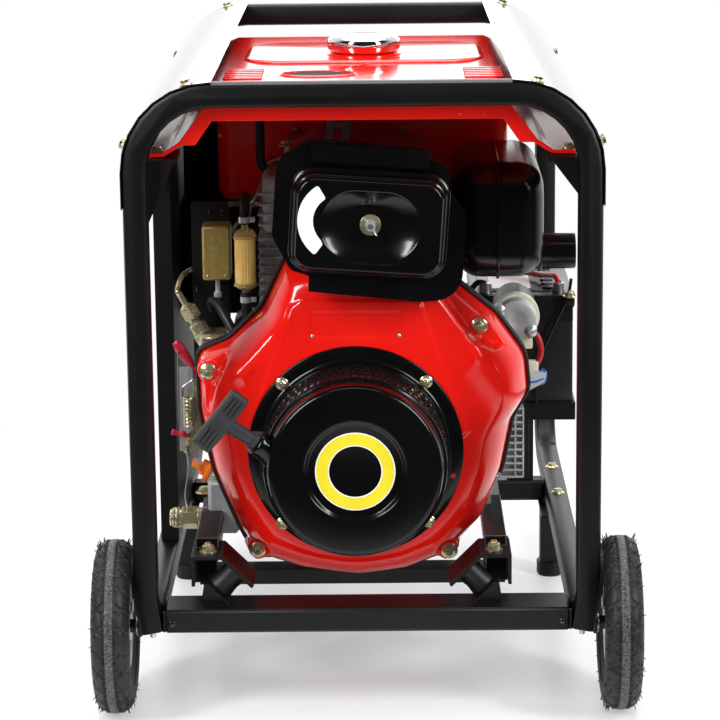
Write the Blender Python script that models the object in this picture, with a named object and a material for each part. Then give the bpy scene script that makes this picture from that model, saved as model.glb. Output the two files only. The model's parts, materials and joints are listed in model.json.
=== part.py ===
"""Engine driven welder: a single-cylinder diesel engine and a welding alternator on a base, hung in an
open tube frame with two wheels, a fuel tank, a battery and a side control panel.

Metres, +Z up, +X to the right and +Y to the back as seen from the recoil starter. Every shape is written
in the frame's own coordinates (x, depth behind the frame's front face, z above the ground); the empty
"welder" carries them all, so that the origin is under the middle of the whole machine.
"""

import math

import bmesh
import bpy
from mathutils import Matrix, Quaternion, Vector

for old in list(bpy.data.objects):
    bpy.data.objects.remove(old, do_unlink=True)

# ---- frame ----------------------------------------------------------------------------------------
GAP = 0.0003                 # gap between two pieces that touch
TUBE = 0.028                 # side of the square frame tube
TUBE_EDGE = 0.006            # its corner radius
FRONT_W = 0.538              # front hoop, over the tubes
BACK_W = 0.526               # rails and rear hoop, over the tubes
LENGTH = 0.826               # front face of the front hoop to back face of the rear hoop
HOOP_TOP = 0.741
FRAME_BOTTOM = 0.103
CORNER_R = 0.086             # hoop corners, on the tube's centre line
BEND_R = 0.080               # rail to rear hoop, on the centre line
TOE_IN = 0.0065              # the front legs' ends lean inwards by this
TOE_H = 0.035
KNEE_R = 0.200               # how gently they do, on the centre line
CROSSBAR_DEPTH = 0.060
BACK_BAR_DEPTH = 0.545       # front face of the rear crossbar
SHEET = 0.0015
GUARD_LAP = 0.002            # flat margin of the top guards past the corner arc
GUARD_LOW = 0.600            # lower edge of the top guards
BOLT_AF = 0.010              # hexagon across flats
BOLT_H = 0.005

# ---- wheels and rear legs ---------------------------------------------------------------------------
WHEEL_R = 0.102
TYRE_W = 0.0475
TYRE_CLEAR = 0.001           # tyre to front hoop
RIM_R = 0.054
WHEEL_X = FRONT_W / 2 + TYRE_CLEAR + TYRE_W / 2
AXLE_DEPTH = 0.034
AXLE_R = 0.008
LEG_X = 0.243
LEG_DEPTH = 0.550
LEG_W = 0.028
FOOT_R = 0.018
FOOT_H = 0.020

# ---- engine ---------------------------------------------------------------------------------------
CRANK_X = -0.012
CRANK_Z = 0.293
CRANK_R = 0.022
SHROUD_FRONT = 0.100
SHROUD_BACK = 0.172
SHROUD_WALL = 0.003
FAN_MOUTH_R = 0.104
FLANGE_R = 0.1265
DOME_R = 0.108
DOME_FRONT = 0.012
ROPE_MOUTH = (-0.1265, 0.016, 0.3280)
GRIP = (-0.1635, -0.004, 0.3575)
WING = (0.008, 0.5735)       # where the air filter's stud stands, (x, z)
CASE_L, CASE_R = -0.165, 0.125
CASE_FRONT, CASE_BACK = 0.190, 0.400
CASE_BOTTOM, CASE_TOP = 0.200, 0.405
FOOT_Z = 0.186               # top of the front mount brackets, where the engine's feet stand
BLOCK_L, BLOCK_R = -0.128, 0.090
BLOCK_FRONT, BLOCK_BACK = 0.225, 0.375
BLOCK_TOP = 0.530
HEAD_TOP = 0.600
COVER_TOP = 0.634
HOUSING_R = 0.115
HOUSING_WALL = 0.006
HOUSING_FRONT = CASE_BACK + GAP
HOUSING_BACK = 0.640
STATOR_IN_R = 0.074
ROTOR_R = 0.072
ROTOR_FRONT, ROTOR_BACK = 0.450, 0.590

# ---- base and mounts --------------------------------------------------------------------------------
MOUNT_MID = -0.018           # the front mounts stand either side of this
MOUNT_HALF = 0.144
MOUNT_Z = 0.1540
MOUNT_DEPTH = 0.050
MOUNT_R = 0.0160
MOUNT_LEN = 0.0290
FOLD = 0.004                 # plate thickness of the folded brackets
BASE_FRONT = 0.0975
BASE_L, BASE_R = -0.204, 0.167
BASE_BACK = 0.600
CHANNEL_W = 0.026
CHANNEL_LOW, CHANNEL_TOP = 0.150, 0.168
TIE_FRONT, TIE_LOW = 0.180, 0.105

# ---- tank -----------------------------------------------------------------------------------------
TANK_FRONT, TANK_BACK = 0.035, 0.670
TANK_TOP = 0.7125
TANK_UNDER = 0.694
SHELF_TOP = 0.653
WELL_L, WELL_R = -0.186, 0.180
WELL_FRONT, WELL_LOW = 0.415, 0.534
CAP_X, CAP_DEPTH = 0.0, 0.455
CAP_R = 0.045
CAP_TOP = 0.7400
NECK_R = 0.036
EYE_X, EYE_DEPTH = -0.054, 0.285

# ---- battery --------------------------------------------------------------------------------------
TRAY_L, TRAY_R = 0.130, 0.263
TRAY_FRONT, TRAY_BACK = 0.360, 0.560
TRAY_BOTTOM = 0.262
TRAY_H = 0.023
TRAY_WALL = 0.0025
BATTERY_TOP = 0.424

# ---- control panel ----------------------------------------------------------------------------------
PANEL_OUT = -0.2575
PANEL_FACE = -0.2395
PANEL_BACK = -0.2355
PANEL_FRONT, PANEL_END = 0.280, 0.728
PANEL_TOP = 0.600
PANEL_RIM = 0.002
KNOB_DEPTH, KNOB_Z = 0.400, 0.430
KEY_DEPTH, KEY_Z = 0.340, 0.520
BREAKER_DEPTH, BREAKER_Z = 0.470, 0.520
COVER_DEPTH, COVER_Z = 0.620, 0.400
TERMINAL_Z = 0.235

RAIL_Z = FRAME_BOTTOM + TUBE / 2
RAIL_TOP = FRAME_BOTTOM + TUBE
BACK_X = BACK_W / 2 - TUBE / 2
FRONT_Y = -(LENGTH + AXLE_DEPTH - WHEEL_R) / 2

X_AXIS, Y_AXIS, Z_AXIS = Vector((1, 0, 0)), Vector((0, 1, 0)), Vector((0, 0, 1))

welder = bpy.data.objects.new("welder", None)
welder.location = (0, FRONT_Y, 0)
bpy.context.scene.collection.objects.link(welder)


# ---- looks ----------------------------------------------------------------------------------------
LOOKS = {
    "black_paint": ((0.012, 0.012, 0.013), 0.38, 0.0),
    "gloss_black": ((0.008, 0.008, 0.009), 0.15, 0.0),
    "red_paint": ((0.62, 0.010, 0.008), 0.22, 0.0),
    "rubber": ((0.020, 0.020, 0.021), 0.75, 0.0),
    "cast_aluminium": ((0.42, 0.42, 0.43), 0.45, 1.0),
    "zinc": ((0.62, 0.55, 0.38), 0.32, 1.0),
    "chrome": ((0.80, 0.80, 0.82), 0.08, 1.0),
    "steel": ((0.50, 0.50, 0.52), 0.35, 1.0),
    "copper": ((0.55, 0.22, 0.10), 0.40, 1.0),
    "amber": ((0.80, 0.42, 0.08), 0.25, 0.0),
    "black_plastic": ((0.020, 0.020, 0.022), 0.50, 0.0),
    "orange_plastic": ((0.90, 0.28, 0.03), 0.40, 0.0),
    "red_plastic": ((0.55, 0.02, 0.03), 0.40, 0.0),
}


def look(name):
    """The named material, made the first time it is asked for."""
    if name in bpy.data.materials:
        return bpy.data.materials[name]
    colour, roughness, metallic = LOOKS[name]
    made = bpy.data.materials.new(name)
    made.use_nodes = True
    shader = made.node_tree.nodes["Principled BSDF"]
    shader.inputs["Base Color"].default_value = (*colour, 1)
    shader.inputs["Roughness"].default_value = roughness
    shader.inputs["Metallic"].default_value = metallic
    made.diffuse_color = (*colour, 1)
    return made


# ---- shapes: each returns one closed bmesh ------------------------------------------------------------
def loft(loops, closed_on_itself=False):
    """A skin over loops of points, all with the same number, capped at both ends or joined end to end."""
    body = bmesh.new()
    rings = [[body.verts.new(point) for point in loop] for loop in loops]
    pairs = list(zip(rings, rings[1:]))
    if closed_on_itself:
        pairs.append((rings[-1], rings[0]))
    else:
        body.faces.new(reversed(rings[0]))
        body.faces.new(rings[-1])
    for low, high in pairs:
        for i in range(len(low)):
            j = (i + 1) % len(low)
            body.faces.new((low[i], low[j], high[j], high[i]))
    bmesh.ops.recalc_face_normals(body, faces=body.faces)
    return body


def box(x, depth, z, bevel=0.0, steps=1):
    """A box between the two values of each pair, its edges rounded if a bevel is given."""
    corners = [(x[0], depth[0]), (x[1], depth[0]), (x[1], depth[1]), (x[0], depth[1])]
    body = loft([[(a, b, level) for a, b in corners] for level in z])
    if bevel:
        bmesh.ops.bevel(body, geom=body.edges[:], offset=bevel, segments=steps, profile=0.5, affect="EDGES")
    return body


def prism(outline, axis, span, bevel=0.0, steps=2):
    """An outline pushed along an axis: (x, z) along y, (depth, z) along x, or (x, depth) along z."""
    place = {
        "x": lambda a, b, level: (level, a, b),
        "y": lambda a, b, level: (a, level, b),
        "z": lambda a, b, level: (a, b, level),
    }[axis]
    body = loft([[place(a, b, level) for a, b in outline] for level in span])
    if bevel:
        ends = [edge for edge in body.edges if len({len(face.verts) for face in edge.link_faces}) > 1]
        bmesh.ops.bevel(body, geom=ends, offset=bevel, segments=steps, profile=0.5, affect="EDGES")
    return body


def turned(profile, centre, axis, sides=24):
    """A profile of (radius, distance along the axis) turned about the axis through the centre."""
    turn = Z_AXIS.rotation_difference(Vector(axis))
    body = bmesh.new()
    rings = []
    for radius, along in profile:
        if radius == 0:
            rings.append([body.verts.new((0, 0, along))])
            continue
        angles = (2 * math.pi * i / sides for i in range(sides))
        rings.append([body.verts.new((radius * math.cos(a), radius * math.sin(a), along)) for a in angles])
    pairs = list(zip(rings, rings[1:]))
    if len(rings[0]) > 1:
        pairs.append((rings[-1], rings[0]))
    for low, high in pairs:
        for i in range(sides):
            j = (i + 1) % sides
            corners = [low[i % len(low)], low[j % len(low)], high[j % len(high)], high[i % len(high)]]
            body.faces.new(list(dict.fromkeys(corners)))
    bmesh.ops.transform(body, matrix=Matrix.Translation(centre) @ turn.to_matrix().to_4x4(), verts=body.verts)
    bmesh.ops.recalc_face_normals(body, faces=body.faces)
    return body


def rod(start, end, radius, sides=12):
    """A plain cylinder between two points."""
    start, end = Vector(start), Vector(end)
    return turned([(0, 0), (radius, 0), (radius, (end - start).length), (0, (end - start).length)],
                  start, (end - start).normalized(), sides)


def filleted(points, radii, steps=7):
    """The path through the points, each inner corner turned into an arc of its own radius."""
    points = [Vector(point) for point in points]
    path = [points[0]]
    for before, corner, after, radius in zip(points, points[1:], points[2:], radii):
        back, on = (before - corner).normalized(), (after - corner).normalized()
        half = back.angle(on) / 2
        centre = corner + (back + on).normalized() * radius / math.sin(half)
        first = corner + back * radius / math.tan(half) - centre
        last = corner + on * radius / math.tan(half) - centre
        turn = first.rotation_difference(last)
        path += [centre + Quaternion().slerp(turn, i / steps) @ first for i in range(steps + 1)]
    path.append(points[-1])
    return path


def rounded(corners, steps=4):
    """A closed outline of (u, v, corner radius) as a list of (u, v)."""
    outline = []
    count = len(corners)
    for i, (u, v, radius) in enumerate(corners):
        if radius == 0:
            outline.append((u, v))
            continue
        around = [Vector((*corners[(i + k) % count][:2], 0)) for k in (-1, 0, 1)]
        outline += [(p.x, p.y) for p in filleted(around, [radius], steps)[1:-1]]
    return outline


def rectangle(width, height, radius, steps=4, centre=(0, 0), turn=0.0):
    """A rounded rectangle, turned by an angle about its centre."""
    w, h = width / 2, height / 2
    outline = rounded([(-w, -h, radius), (w, -h, radius), (w, h, radius), (-w, h, radius)], steps)
    cos, sin = math.cos(turn), math.sin(turn)
    return [(centre[0] + u * cos - v * sin, centre[1] + u * sin + v * cos) for u, v in outline]


def ellipse(width, height, centre, sides=28):
    angles = (2 * math.pi * i / sides for i in range(sides))
    return [(centre[0] + width / 2 * math.cos(a), centre[1] + height / 2 * math.sin(a)) for a in angles]


def swept(path, section, start_side):
    """A section of (side, up) offsets carried along a path without twisting."""
    path = [Vector(point) for point in path]
    runs = [(b - a).normalized() for a, b in zip(path, path[1:])]
    tangents = [runs[0]] + [(a + b).normalized() for a, b in zip(runs, runs[1:])] + [runs[-1]]
    side = Vector(start_side)
    loops = []
    for i, (point, tangent) in enumerate(zip(path, tangents)):
        if i:
            side = tangents[i - 1].rotation_difference(tangent) @ side
        up = tangent.cross(side)
        loops.append([point + side * a + up * b for a, b in section])
    return loft(loops)


def square_tube(path, start_side):
    return swept(path, rectangle(TUBE, TUBE, TUBE_EDGE, 2), start_side)


# ---- pieces ---------------------------------------------------------------------------------------
def placed(name, body, origin):
    """An object from a bmesh in the frame's coordinates, with its origin at the given point."""
    bmesh.ops.translate(body, vec=-Vector(origin), verts=body.verts)
    mesh = bpy.data.meshes.new(name)
    body.to_mesh(mesh)
    body.free()
    made = bpy.data.objects.new(name, mesh)
    made.location = origin
    made.parent = welder
    bpy.context.scene.collection.objects.link(made)
    return made


def piece(name, body, look_name, origin=(0, 0, 0), add=(), cut=()):
    """One node: a body, what is welded or cast on to it, and what is cut from it."""
    made = placed(name, body, origin)
    made.data.materials.append(look(look_name))
    for operation, helpers in (("UNION", add), ("DIFFERENCE", cut)):
        for i, helper in enumerate(helpers):
            tool = placed(f"{name}_{operation.lower()}_{i}", helper, (0, 0, 0))
            tool.hide_render = True
            tool.display_type = "WIRE"
            modifier = made.modifiers.new(f"{operation.title()} {i}", "BOOLEAN")
            modifier.operation = operation
            modifier.object = tool
    made.data.shade_smooth()
    made.data.set_sharp_from_angle(angle=math.radians(32))
    return made


def each_side():
    """Left, then right: (name, sign of x)."""
    return (("left", -1), ("right", 1))


# ---- frame ----------------------------------------------------------------------------------------
def front_hoop():
    """The front hoop, with the two gussets and shelves that carry the tank's front ears."""
    x, depth = FRONT_W / 2 - TUBE / 2, TUBE / 2
    top, knee = HOOP_TOP - TUBE / 2, FRAME_BOTTOM + TOE_H
    half = [(-x + TOE_IN, depth, FRAME_BOTTOM), (-x, depth, knee), (-x, depth, top)]
    corners = half + [(-a, b, c) for a, b, c in reversed(half)]
    path = filleted(corners, [KNEE_R, CORNER_R, CORNER_R, KNEE_R])
    inner = FRONT_W / 2 - TUBE
    shelf = 0.0055
    welded = []
    for sign, reach, drop in ((-1, 0.031, 0.078), (1, 0.032, 0.046)):
        root, tip = sign * (inner + 0.003), sign * (inner - reach)
        triangle = [(root, SHELF_TOP), (tip, SHELF_TOP), (root, SHELF_TOP - drop)]
        welded.append(prism(triangle, "y", (0.018, 0.024)))
        welded.append(box(sorted((sign * (inner - GAP), tip)), (0.020, 0.100), (SHELF_TOP - shelf, SHELF_TOP)))
    piece("front_hoop", square_tube(path, Y_AXIS), "black_paint", add=welded)


def rear_hoop():
    """The rear hoop with the bends that meet the rails, and the arms under the tank's back ears."""
    x, depth, top = BACK_X, LENGTH - TUBE / 2, HOOP_TOP - TUBE / 2
    start = depth - BEND_R - 0.001
    corners = [(-x, start, RAIL_Z), (-x, depth, RAIL_Z), (-x, depth, top),
               (x, depth, top), (x, depth, RAIL_Z), (x, start, RAIL_Z)]
    path = filleted(corners, [BEND_R, CORNER_R, CORNER_R, BEND_R])
    inner = BACK_W / 2 - TUBE
    arms = []
    for _, sign in each_side():
        span = sorted((sign * (inner + 0.003), sign * (inner - 0.030)))
        arms.append(box(span, (TANK_BACK - 0.060, LENGTH - TUBE / 2), (SHELF_TOP - 0.0055, SHELF_TOP)))
    piece("rear_hoop", square_tube(path, X_AXIS), "black_paint", add=arms)


def rails():
    end = LENGTH - TUBE / 2 - BEND_R - 0.001 - GAP
    for name, sign in each_side():
        path = [(sign * BACK_X, TUBE + GAP, RAIL_Z), (sign * BACK_X, end, RAIL_Z)]
        piece(f"{name}_rail", square_tube(path, X_AXIS), "black_paint")


def mount_face(offset):
    """x + z of a plane square to the left front mount's 45 degree axis, this far up from its middle."""
    return MOUNT_MID - MOUNT_HALF + MOUNT_Z + offset * math.sqrt(2)


def mirrored(outline):
    """An (x, z) outline of the left mount turned over to the right one."""
    return [(2 * MOUNT_MID - x, z) for x, z in reversed(outline)]


def crossbars():
    """The front crossbar with its two welded mount wedges, and the rear one."""
    half = FRONT_W / 2 - TUBE - TOE_IN - GAP
    face = mount_face(-MOUNT_LEN / 2 - GAP)
    foot = RAIL_TOP - 0.002
    top = MOUNT_Z + 0.002
    wedge = [(face - foot, foot), (face - top, top), (face - top - 0.004, top),
             (face - foot - 0.034, RAIL_TOP + 0.006), (face - foot - 0.034, foot)]
    wedges = [prism(outline, "y", (MOUNT_DEPTH - 0.030, CROSSBAR_DEPTH)) for outline in (wedge, mirrored(wedge))]
    bar = box((-half, half), (0, CROSSBAR_DEPTH), (FRAME_BOTTOM, RAIL_TOP), 0.003)
    piece("front_crossbar", bar, "black_paint", add=wedges)
    reach = BACK_W / 2 - TUBE - GAP
    back = (BACK_BAR_DEPTH, BACK_BAR_DEPTH + TUBE)
    piece("rear_crossbar", box((-reach, reach), back, (FRAME_BOTTOM, RAIL_TOP), 0.003), "black_paint")


def guards():
    """Sheet guards over the top corners, from hoop to hoop, with the heads of their bolts."""
    inner_r = CORNER_R + TUBE / 2 + GAP
    arc_z = HOOP_TOP + GAP - inner_r
    for name, sign in each_side():
        loops = []
        heads = []
        for depth, bolt_depth, width in ((0, TUBE / 2, FRONT_W), (LENGTH, LENGTH - TUBE / 2, BACK_W)):
            arc_x = width / 2 + GAP - inner_r
            loop = []
            for radius in (inner_r, inner_r + SHEET):
                corners = [(arc_x - GUARD_LAP, arc_z + radius), (arc_x + radius, arc_z + radius), (arc_x + radius, GUARD_LOW)]
                arc = filleted([(sign * x, depth, z) for x, z in corners], [radius])
                loop += arc if radius == inner_r else arc[::-1]
            loops.append(loop)
            for angle in (15, 72):
                way = Vector((sign * math.sin(math.radians(angle)), 0, math.cos(math.radians(angle))))
                middle = Vector((sign * arc_x, bolt_depth, arc_z))
                reach = inner_r + SHEET
                heads.append(rod(middle + way * (reach - SHEET), middle + way * (reach + BOLT_H), BOLT_AF / math.sqrt(3), 6))
        piece(f"{name}_top_guard", loft(loops), "black_paint", add=heads)


def rear_legs():
    """A square leg on a rubber foot under each rail, hung from a plate bolted to the rail."""
    for name, sign in each_side():
        x = sign * LEG_X
        top = FRAME_BOTTOM - GAP
        plate = box((x - 0.016, x + 0.016), (LEG_DEPTH - 0.075, LEG_DEPTH + 0.075), (top - 0.004, top))
        stem = box((x - LEG_W / 2, x + LEG_W / 2), (LEG_DEPTH - LEG_W / 2, LEG_DEPTH + LEG_W / 2),
                   (FOOT_H - 0.002, top - 0.002))
        foot = turned([(0, 0), (FOOT_R - 0.002, 0), (FOOT_R, 0.003), (FOOT_R, FOOT_H), (0, FOOT_H)],
                      (x, LEG_DEPTH, 0), Z_AXIS, 20)
        piece(f"{name}_rear_leg", plate, "black_paint", add=[stem, foot])


def wheels():
    """On each side a stub axle on a plate, a turned rim and a tyre with a shallow tread groove."""
    half = TYRE_W / 2
    bore = AXLE_R + GAP
    hub_half = TYRE_W / 2 - 0.006
    for name, sign in each_side():
        centre = (sign * WHEEL_X, AXLE_DEPTH, WHEEL_R)
        plate_in = sign * (BACK_W / 2 + GAP)
        plate = box(sorted((plate_in, plate_in + sign * 0.004)), (TUBE + GAP, AXLE_DEPTH + 0.045), (WHEEL_R - 0.012, RAIL_TOP))
        stub = rod((plate_in + sign * 0.001, AXLE_DEPTH, WHEEL_R), (sign * (WHEEL_X + hub_half), AXLE_DEPTH, WHEEL_R),
                   AXLE_R, 16)
        piece(f"{name}_axle", plate, "steel", add=[stub])
        rim = [(bore, -hub_half), (0.017, -hub_half), (0.017, -0.006), (0.042, -0.006), (0.047, -half + 0.010),
               (RIM_R, -half + 0.008), (RIM_R, half - 0.008), (0.047, half - 0.010), (0.042, 0.006),
               (0.017, 0.006), (0.017, hub_half), (bore, hub_half)]
        piece(f"{name}_wheel", turned(rim, centre, X_AXIS, 24), "steel", origin=centre)
        seat = RIM_R + GAP
        tyre = [(seat, -half + 0.010), (seat + 0.010, -half + 0.004), (WHEEL_R - 0.026, -half), (WHEEL_R - 0.012, -half + 0.003),
                (WHEEL_R - 0.004, -half + 0.009), (WHEEL_R, -half + 0.018), (WHEEL_R, half - 0.018),
                (WHEEL_R - 0.004, half - 0.009), (WHEEL_R - 0.012, half - 0.003), (WHEEL_R - 0.026, half),
                (seat + 0.010, half - 0.004), (seat, half - 0.010)]
        piece(f"{name}_tyre", turned(tyre, centre, X_AXIS, 40), "rubber", origin=centre)


# ---- base and mounts --------------------------------------------------------------------------------
def engine_base():
    """Two long channels tied by a dropped channel behind the cowl and by a plate at the back."""
    front = box((BASE_L, BASE_R), (TIE_FRONT, TIE_FRONT + 0.035), (TIE_LOW, TIE_LOW + 0.0185))
    added = [box((BASE_L, BASE_R), (BACK_BAR_DEPTH - 0.010, BASE_BACK), (CHANNEL_LOW, CHANNEL_TOP - 0.001))]
    for side in (BASE_L, BASE_R - CHANNEL_W):
        span = (side, side + CHANNEL_W)
        added.append(box(span, (BASE_FRONT, BASE_BACK), (CHANNEL_LOW, CHANNEL_TOP)))
        added.append(box(span, (BASE_FRONT, BASE_FRONT + 0.010), (RAIL_TOP + 0.003, FOOT_Z)))
        added.append(box((side, side + 0.006), (TIE_FRONT, TIE_FRONT + 0.035), (TIE_LOW, CHANNEL_TOP - 0.002)))
    piece("engine_base", front, "black_paint", add=added)


def front_mounts():
    """The folded bracket under each engine foot and the rubber that hangs it at 45 degrees."""
    low = mount_face(MOUNT_LEN / 2 + GAP)
    high = low + FOLD * math.sqrt(2)
    end = MOUNT_Z - 0.004
    left = BASE_L
    fold = [(left, CHANNEL_LOW), (left, FOOT_Z), (high - FOOT_Z, FOOT_Z), (high - end, end),
            (low - end + FOLD / math.sqrt(2), end - FOLD / math.sqrt(2)), (low - FOOT_Z + FOLD, FOOT_Z - FOLD),
            (left + FOLD, FOOT_Z - FOLD), (left + FOLD, CHANNEL_LOW)]
    span = (MOUNT_DEPTH - 0.020, BASE_FRONT - GAP)
    for (name, sign), outline in zip(each_side(), (fold, mirrored(fold))):
        piece(f"{name}_mount_bracket", prism(outline, "y", span), "black_paint")
        centre = Vector((MOUNT_MID + sign * MOUNT_HALF, MOUNT_DEPTH, MOUNT_Z))
        axis = Vector((-sign, 0, 1)).normalized()
        h, r = MOUNT_LEN / 2, MOUNT_R
        barrel = [(0, -h), (r, -h), (r, -h + 0.003), (r - 0.0015, 0), (r, h - 0.003), (r, h), (0, h)]
        piece(f"{name}_front_mount", turned(barrel, centre, axis, 20), "rubber")


def rear_mounts():
    """Upright rubbers between the rear crossbar and the base."""
    low, high = RAIL_TOP + GAP, CHANNEL_LOW - GAP
    for name, x in (("left", BASE_L + 0.020), ("right", BASE_R - 0.020)):
        centre = (x, BACK_BAR_DEPTH + TUBE / 2, 0)
        barrel = [(0, low), (0.013, low), (0.013, high), (0, high)]
        piece(f"{name}_rear_mount", turned(barrel, centre, Z_AXIS, 20), "rubber")


# ---- engine ---------------------------------------------------------------------------------------
def crank_at(depth):
    return (CRANK_X, depth, CRANK_Z)


def crankcase():
    """The crankcase with its feet, oil neck, governor plate, starter lug and drain boss."""
    body = box((CASE_L, CASE_R), (CASE_FRONT, CASE_BACK), (CASE_BOTTOM, CASE_TOP), 0.012, 2)
    foot_low = FOOT_Z + GAP
    added = [
        box((-0.150, 0.110), (CASE_FRONT, 0.360), (0.130, CASE_BOTTOM + 0.010), 0.020, 2),
        box((-0.192, CASE_L + 0.010), (0.180, 0.330), (CHANNEL_TOP + 0.0008, 0.235), 0.004),
        box((-0.200, -0.174), (MOUNT_DEPTH + 0.016, 0.240), (foot_low, foot_low + 0.012)),
        box((0.138, 0.163), (MOUNT_DEPTH + 0.016, 0.240), (foot_low, foot_low + 0.012)),
        box((CASE_R - 0.020, 0.150), (0.200, 0.330), (foot_low, 0.240)),
        rod((-0.150, 0.215, 0.217), (-0.1905, 0.215, 0.2392), 0.0150, 20),
        box((-0.226, CASE_L + 0.010), (0.200, 0.205), (0.268, 0.372)),
        box((CASE_R - 0.030, 0.185), (0.250, 0.290), (0.384, 0.3985)),
        rod((-0.180, 0.195, 0.186), (-0.237, 0.195, 0.186), 0.0115, 6),
    ]
    bore = rod(crank_at(CASE_FRONT - 0.01), crank_at(CASE_BACK + 0.01), CRANK_R + 0.0015, 24)
    piece("crankcase", body, "cast_aluminium", add=added, cut=[bore])


def cylinder():
    """The finned barrel and the head with its rocker cover and lifting eye."""
    barrel = box((BLOCK_L, BLOCK_R), (BLOCK_FRONT, BLOCK_BACK), (CASE_TOP + GAP, BLOCK_TOP), 0.006)
    piece("cylinder_block", barrel, "cast_aluminium")
    head = box((BLOCK_L + 0.006, BLOCK_R - 0.004), (BLOCK_FRONT - 0.004, BLOCK_BACK + 0.004), (BLOCK_TOP + GAP, HEAD_TOP), 0.006)
    cover = box((-0.095, 0.060), (0.235, 0.365), (HEAD_TOP - 0.004, COVER_TOP), 0.006, 2)
    tab = prism(rounded([(-0.045, 0.615, 0), (-0.015, 0.615, 0), (-0.015, 0.672, 0.012), (-0.045, 0.672, 0.012)]),
                "y", (0.287, 0.292))
    hole = rod((-0.030, 0.280, 0.659), (-0.030, 0.300, 0.659), 0.006)
    piece("cylinder_head", head, "cast_aluminium", add=[cover, tab], cut=[hole])


SHROUD_OUTLINE = [
    (-0.094, 0.512, 0.015), (-0.121, 0.455, 0.030), (-0.160, 0.418, 0.030), (-0.199, 0.402, 0.014),
    (-0.197, 0.330, 0.030), (-0.182, 0.258, 0.030), (-0.154, 0.190, 0.030), (-0.136, 0.154, 0.016),
    (-0.080, 0.136, 0.060), (-0.010, 0.127, 0.060), (0.048, 0.134, 0.060), (0.096, 0.152, 0.016),
    (0.140, 0.200, 0.040), (0.162, 0.260, 0.040), (0.174, 0.320, 0.020), (0.192, 0.352, 0.018),
    (0.188, 0.398, 0.030), (0.155, 0.445, 0.030), (0.107, 0.484, 0.020), (0.060, 0.524, 0.030),
    (-0.040, 0.528, 0.030),
]


def fan_shroud():
    """The fan cowl: a star-shaped cup with a round mouth, its shoulder rolled back to the rim."""
    outline = rounded(SHROUD_OUTLINE, 3)

    def ring(depth, inset):
        loop = []
        for x, z in outline:
            ray = Vector((x - CRANK_X, z - CRANK_Z))
            ray *= 1 - inset / ray.length
            loop.append((CRANK_X + ray.x, depth, CRANK_Z + ray.y))
        return loop

    def mouth(depth):
        rays = [Vector((x - CRANK_X, z - CRANK_Z)).normalized() * FAN_MOUTH_R for x, z in outline]
        return [(CRANK_X + ray.x, depth, CRANK_Z + ray.y) for ray in rays]

    front, back, wall = SHROUD_FRONT, SHROUD_BACK, SHROUD_WALL
    loops = [mouth(front), ring(front, 0.030), ring(front + 0.006, 0.014), ring(front + 0.018, 0.004), ring(front + 0.034, 0),
             ring(back, 0), ring(back, wall), ring(front + 0.034 + wall, wall), ring(front + 0.018 + wall, 0.004 + wall),
             ring(front + 0.006 + wall, 0.014 + wall), ring(front + wall, 0.030 + wall), mouth(front + wall)]
    piece("fan_shroud", loft(loops, True), "red_paint")


def crank_line():
    """Crankshaft with the alternator's rotor on it, and the flywheel with its fan."""
    shaft = [(0, 0.118), (0.0135, 0.118), (0.0135, 0.188), (CRANK_R, 0.188), (CRANK_R, 0.402), (0.0170, 0.404),
             (0.0170, ROTOR_FRONT), (ROTOR_R, ROTOR_FRONT), (ROTOR_R, ROTOR_BACK), (0.0120, ROTOR_BACK),
             (0.0120, 0.652), (0, 0.652)]
    piece("crankshaft", turned(shaft, (CRANK_X, 0, CRANK_Z), Y_AXIS, 24), "steel", origin=crank_at(0.30))
    wheel = [(0.0138, 0.120), (0.028, 0.120), (0.028, 0.138), (0.112, 0.138), (0.112, 0.122), (0.120, 0.122),
             (0.120, 0.165), (0.104, 0.165), (0.104, 0.150), (0.028, 0.150), (0.028, 0.170), (0.0138, 0.170)]
    piece("flywheel_fan", turned(wheel, (CRANK_X, 0, CRANK_Z), Y_AXIS, 32), "cast_aluminium", origin=crank_at(0.145))


def recoil():
    """The recoil starter's flanged dome with its rope outlet, and the grip parked on the outlet's mouth."""
    front, flange = DOME_FRONT, SHROUD_FRONT - GAP
    dome = [(0, front + 0.006), (0.046, front + 0.006), (0.050, front), (DOME_R - 0.014, front), (DOME_R - 0.004, front + 0.005),
            (DOME_R, front + 0.016), (DOME_R + 0.004, flange - 0.008), (FLANGE_R, flange - 0.004), (FLANGE_R, flange),
            (0, flange)]
    mouth, grip = Vector(ROPE_MOUTH), Vector(GRIP)
    pull = (grip - mouth).normalized()
    outlet = rod(mouth - pull * 0.045, mouth, 0.0145, 16)
    hollow = rod(crank_at(front + 0.014), crank_at(flange + 0.01), 0.094, 32)
    piece("recoil_cover", turned(dome, (CRANK_X, 0, CRANK_Z), Y_AXIS, 40), "gloss_black", add=[outlet], cut=[hollow])
    # The bar of the grip lies square to the rope, in a plane parallel to the dome's face.
    along = Y_AXIS.cross(pull).normalized()
    across = along.cross(Y_AXIS)
    corners = [grip + along * a + across * b for a, b in ((-0.038, -0.0125), (-0.038, 0.0125), (0.038, 0.0125), (0.038, -0.0125))]
    bar = prism(rounded([(p.x, p.z, 0.003) for p in corners], 2), "y", (grip.y - 0.009, grip.y + 0.009), 0.002, 1)
    stem = rod(grip, mouth + pull * GAP, 0.0085)
    piece("recoil_handle", bar, "black_plastic", origin=grip, add=[stem])


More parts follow.
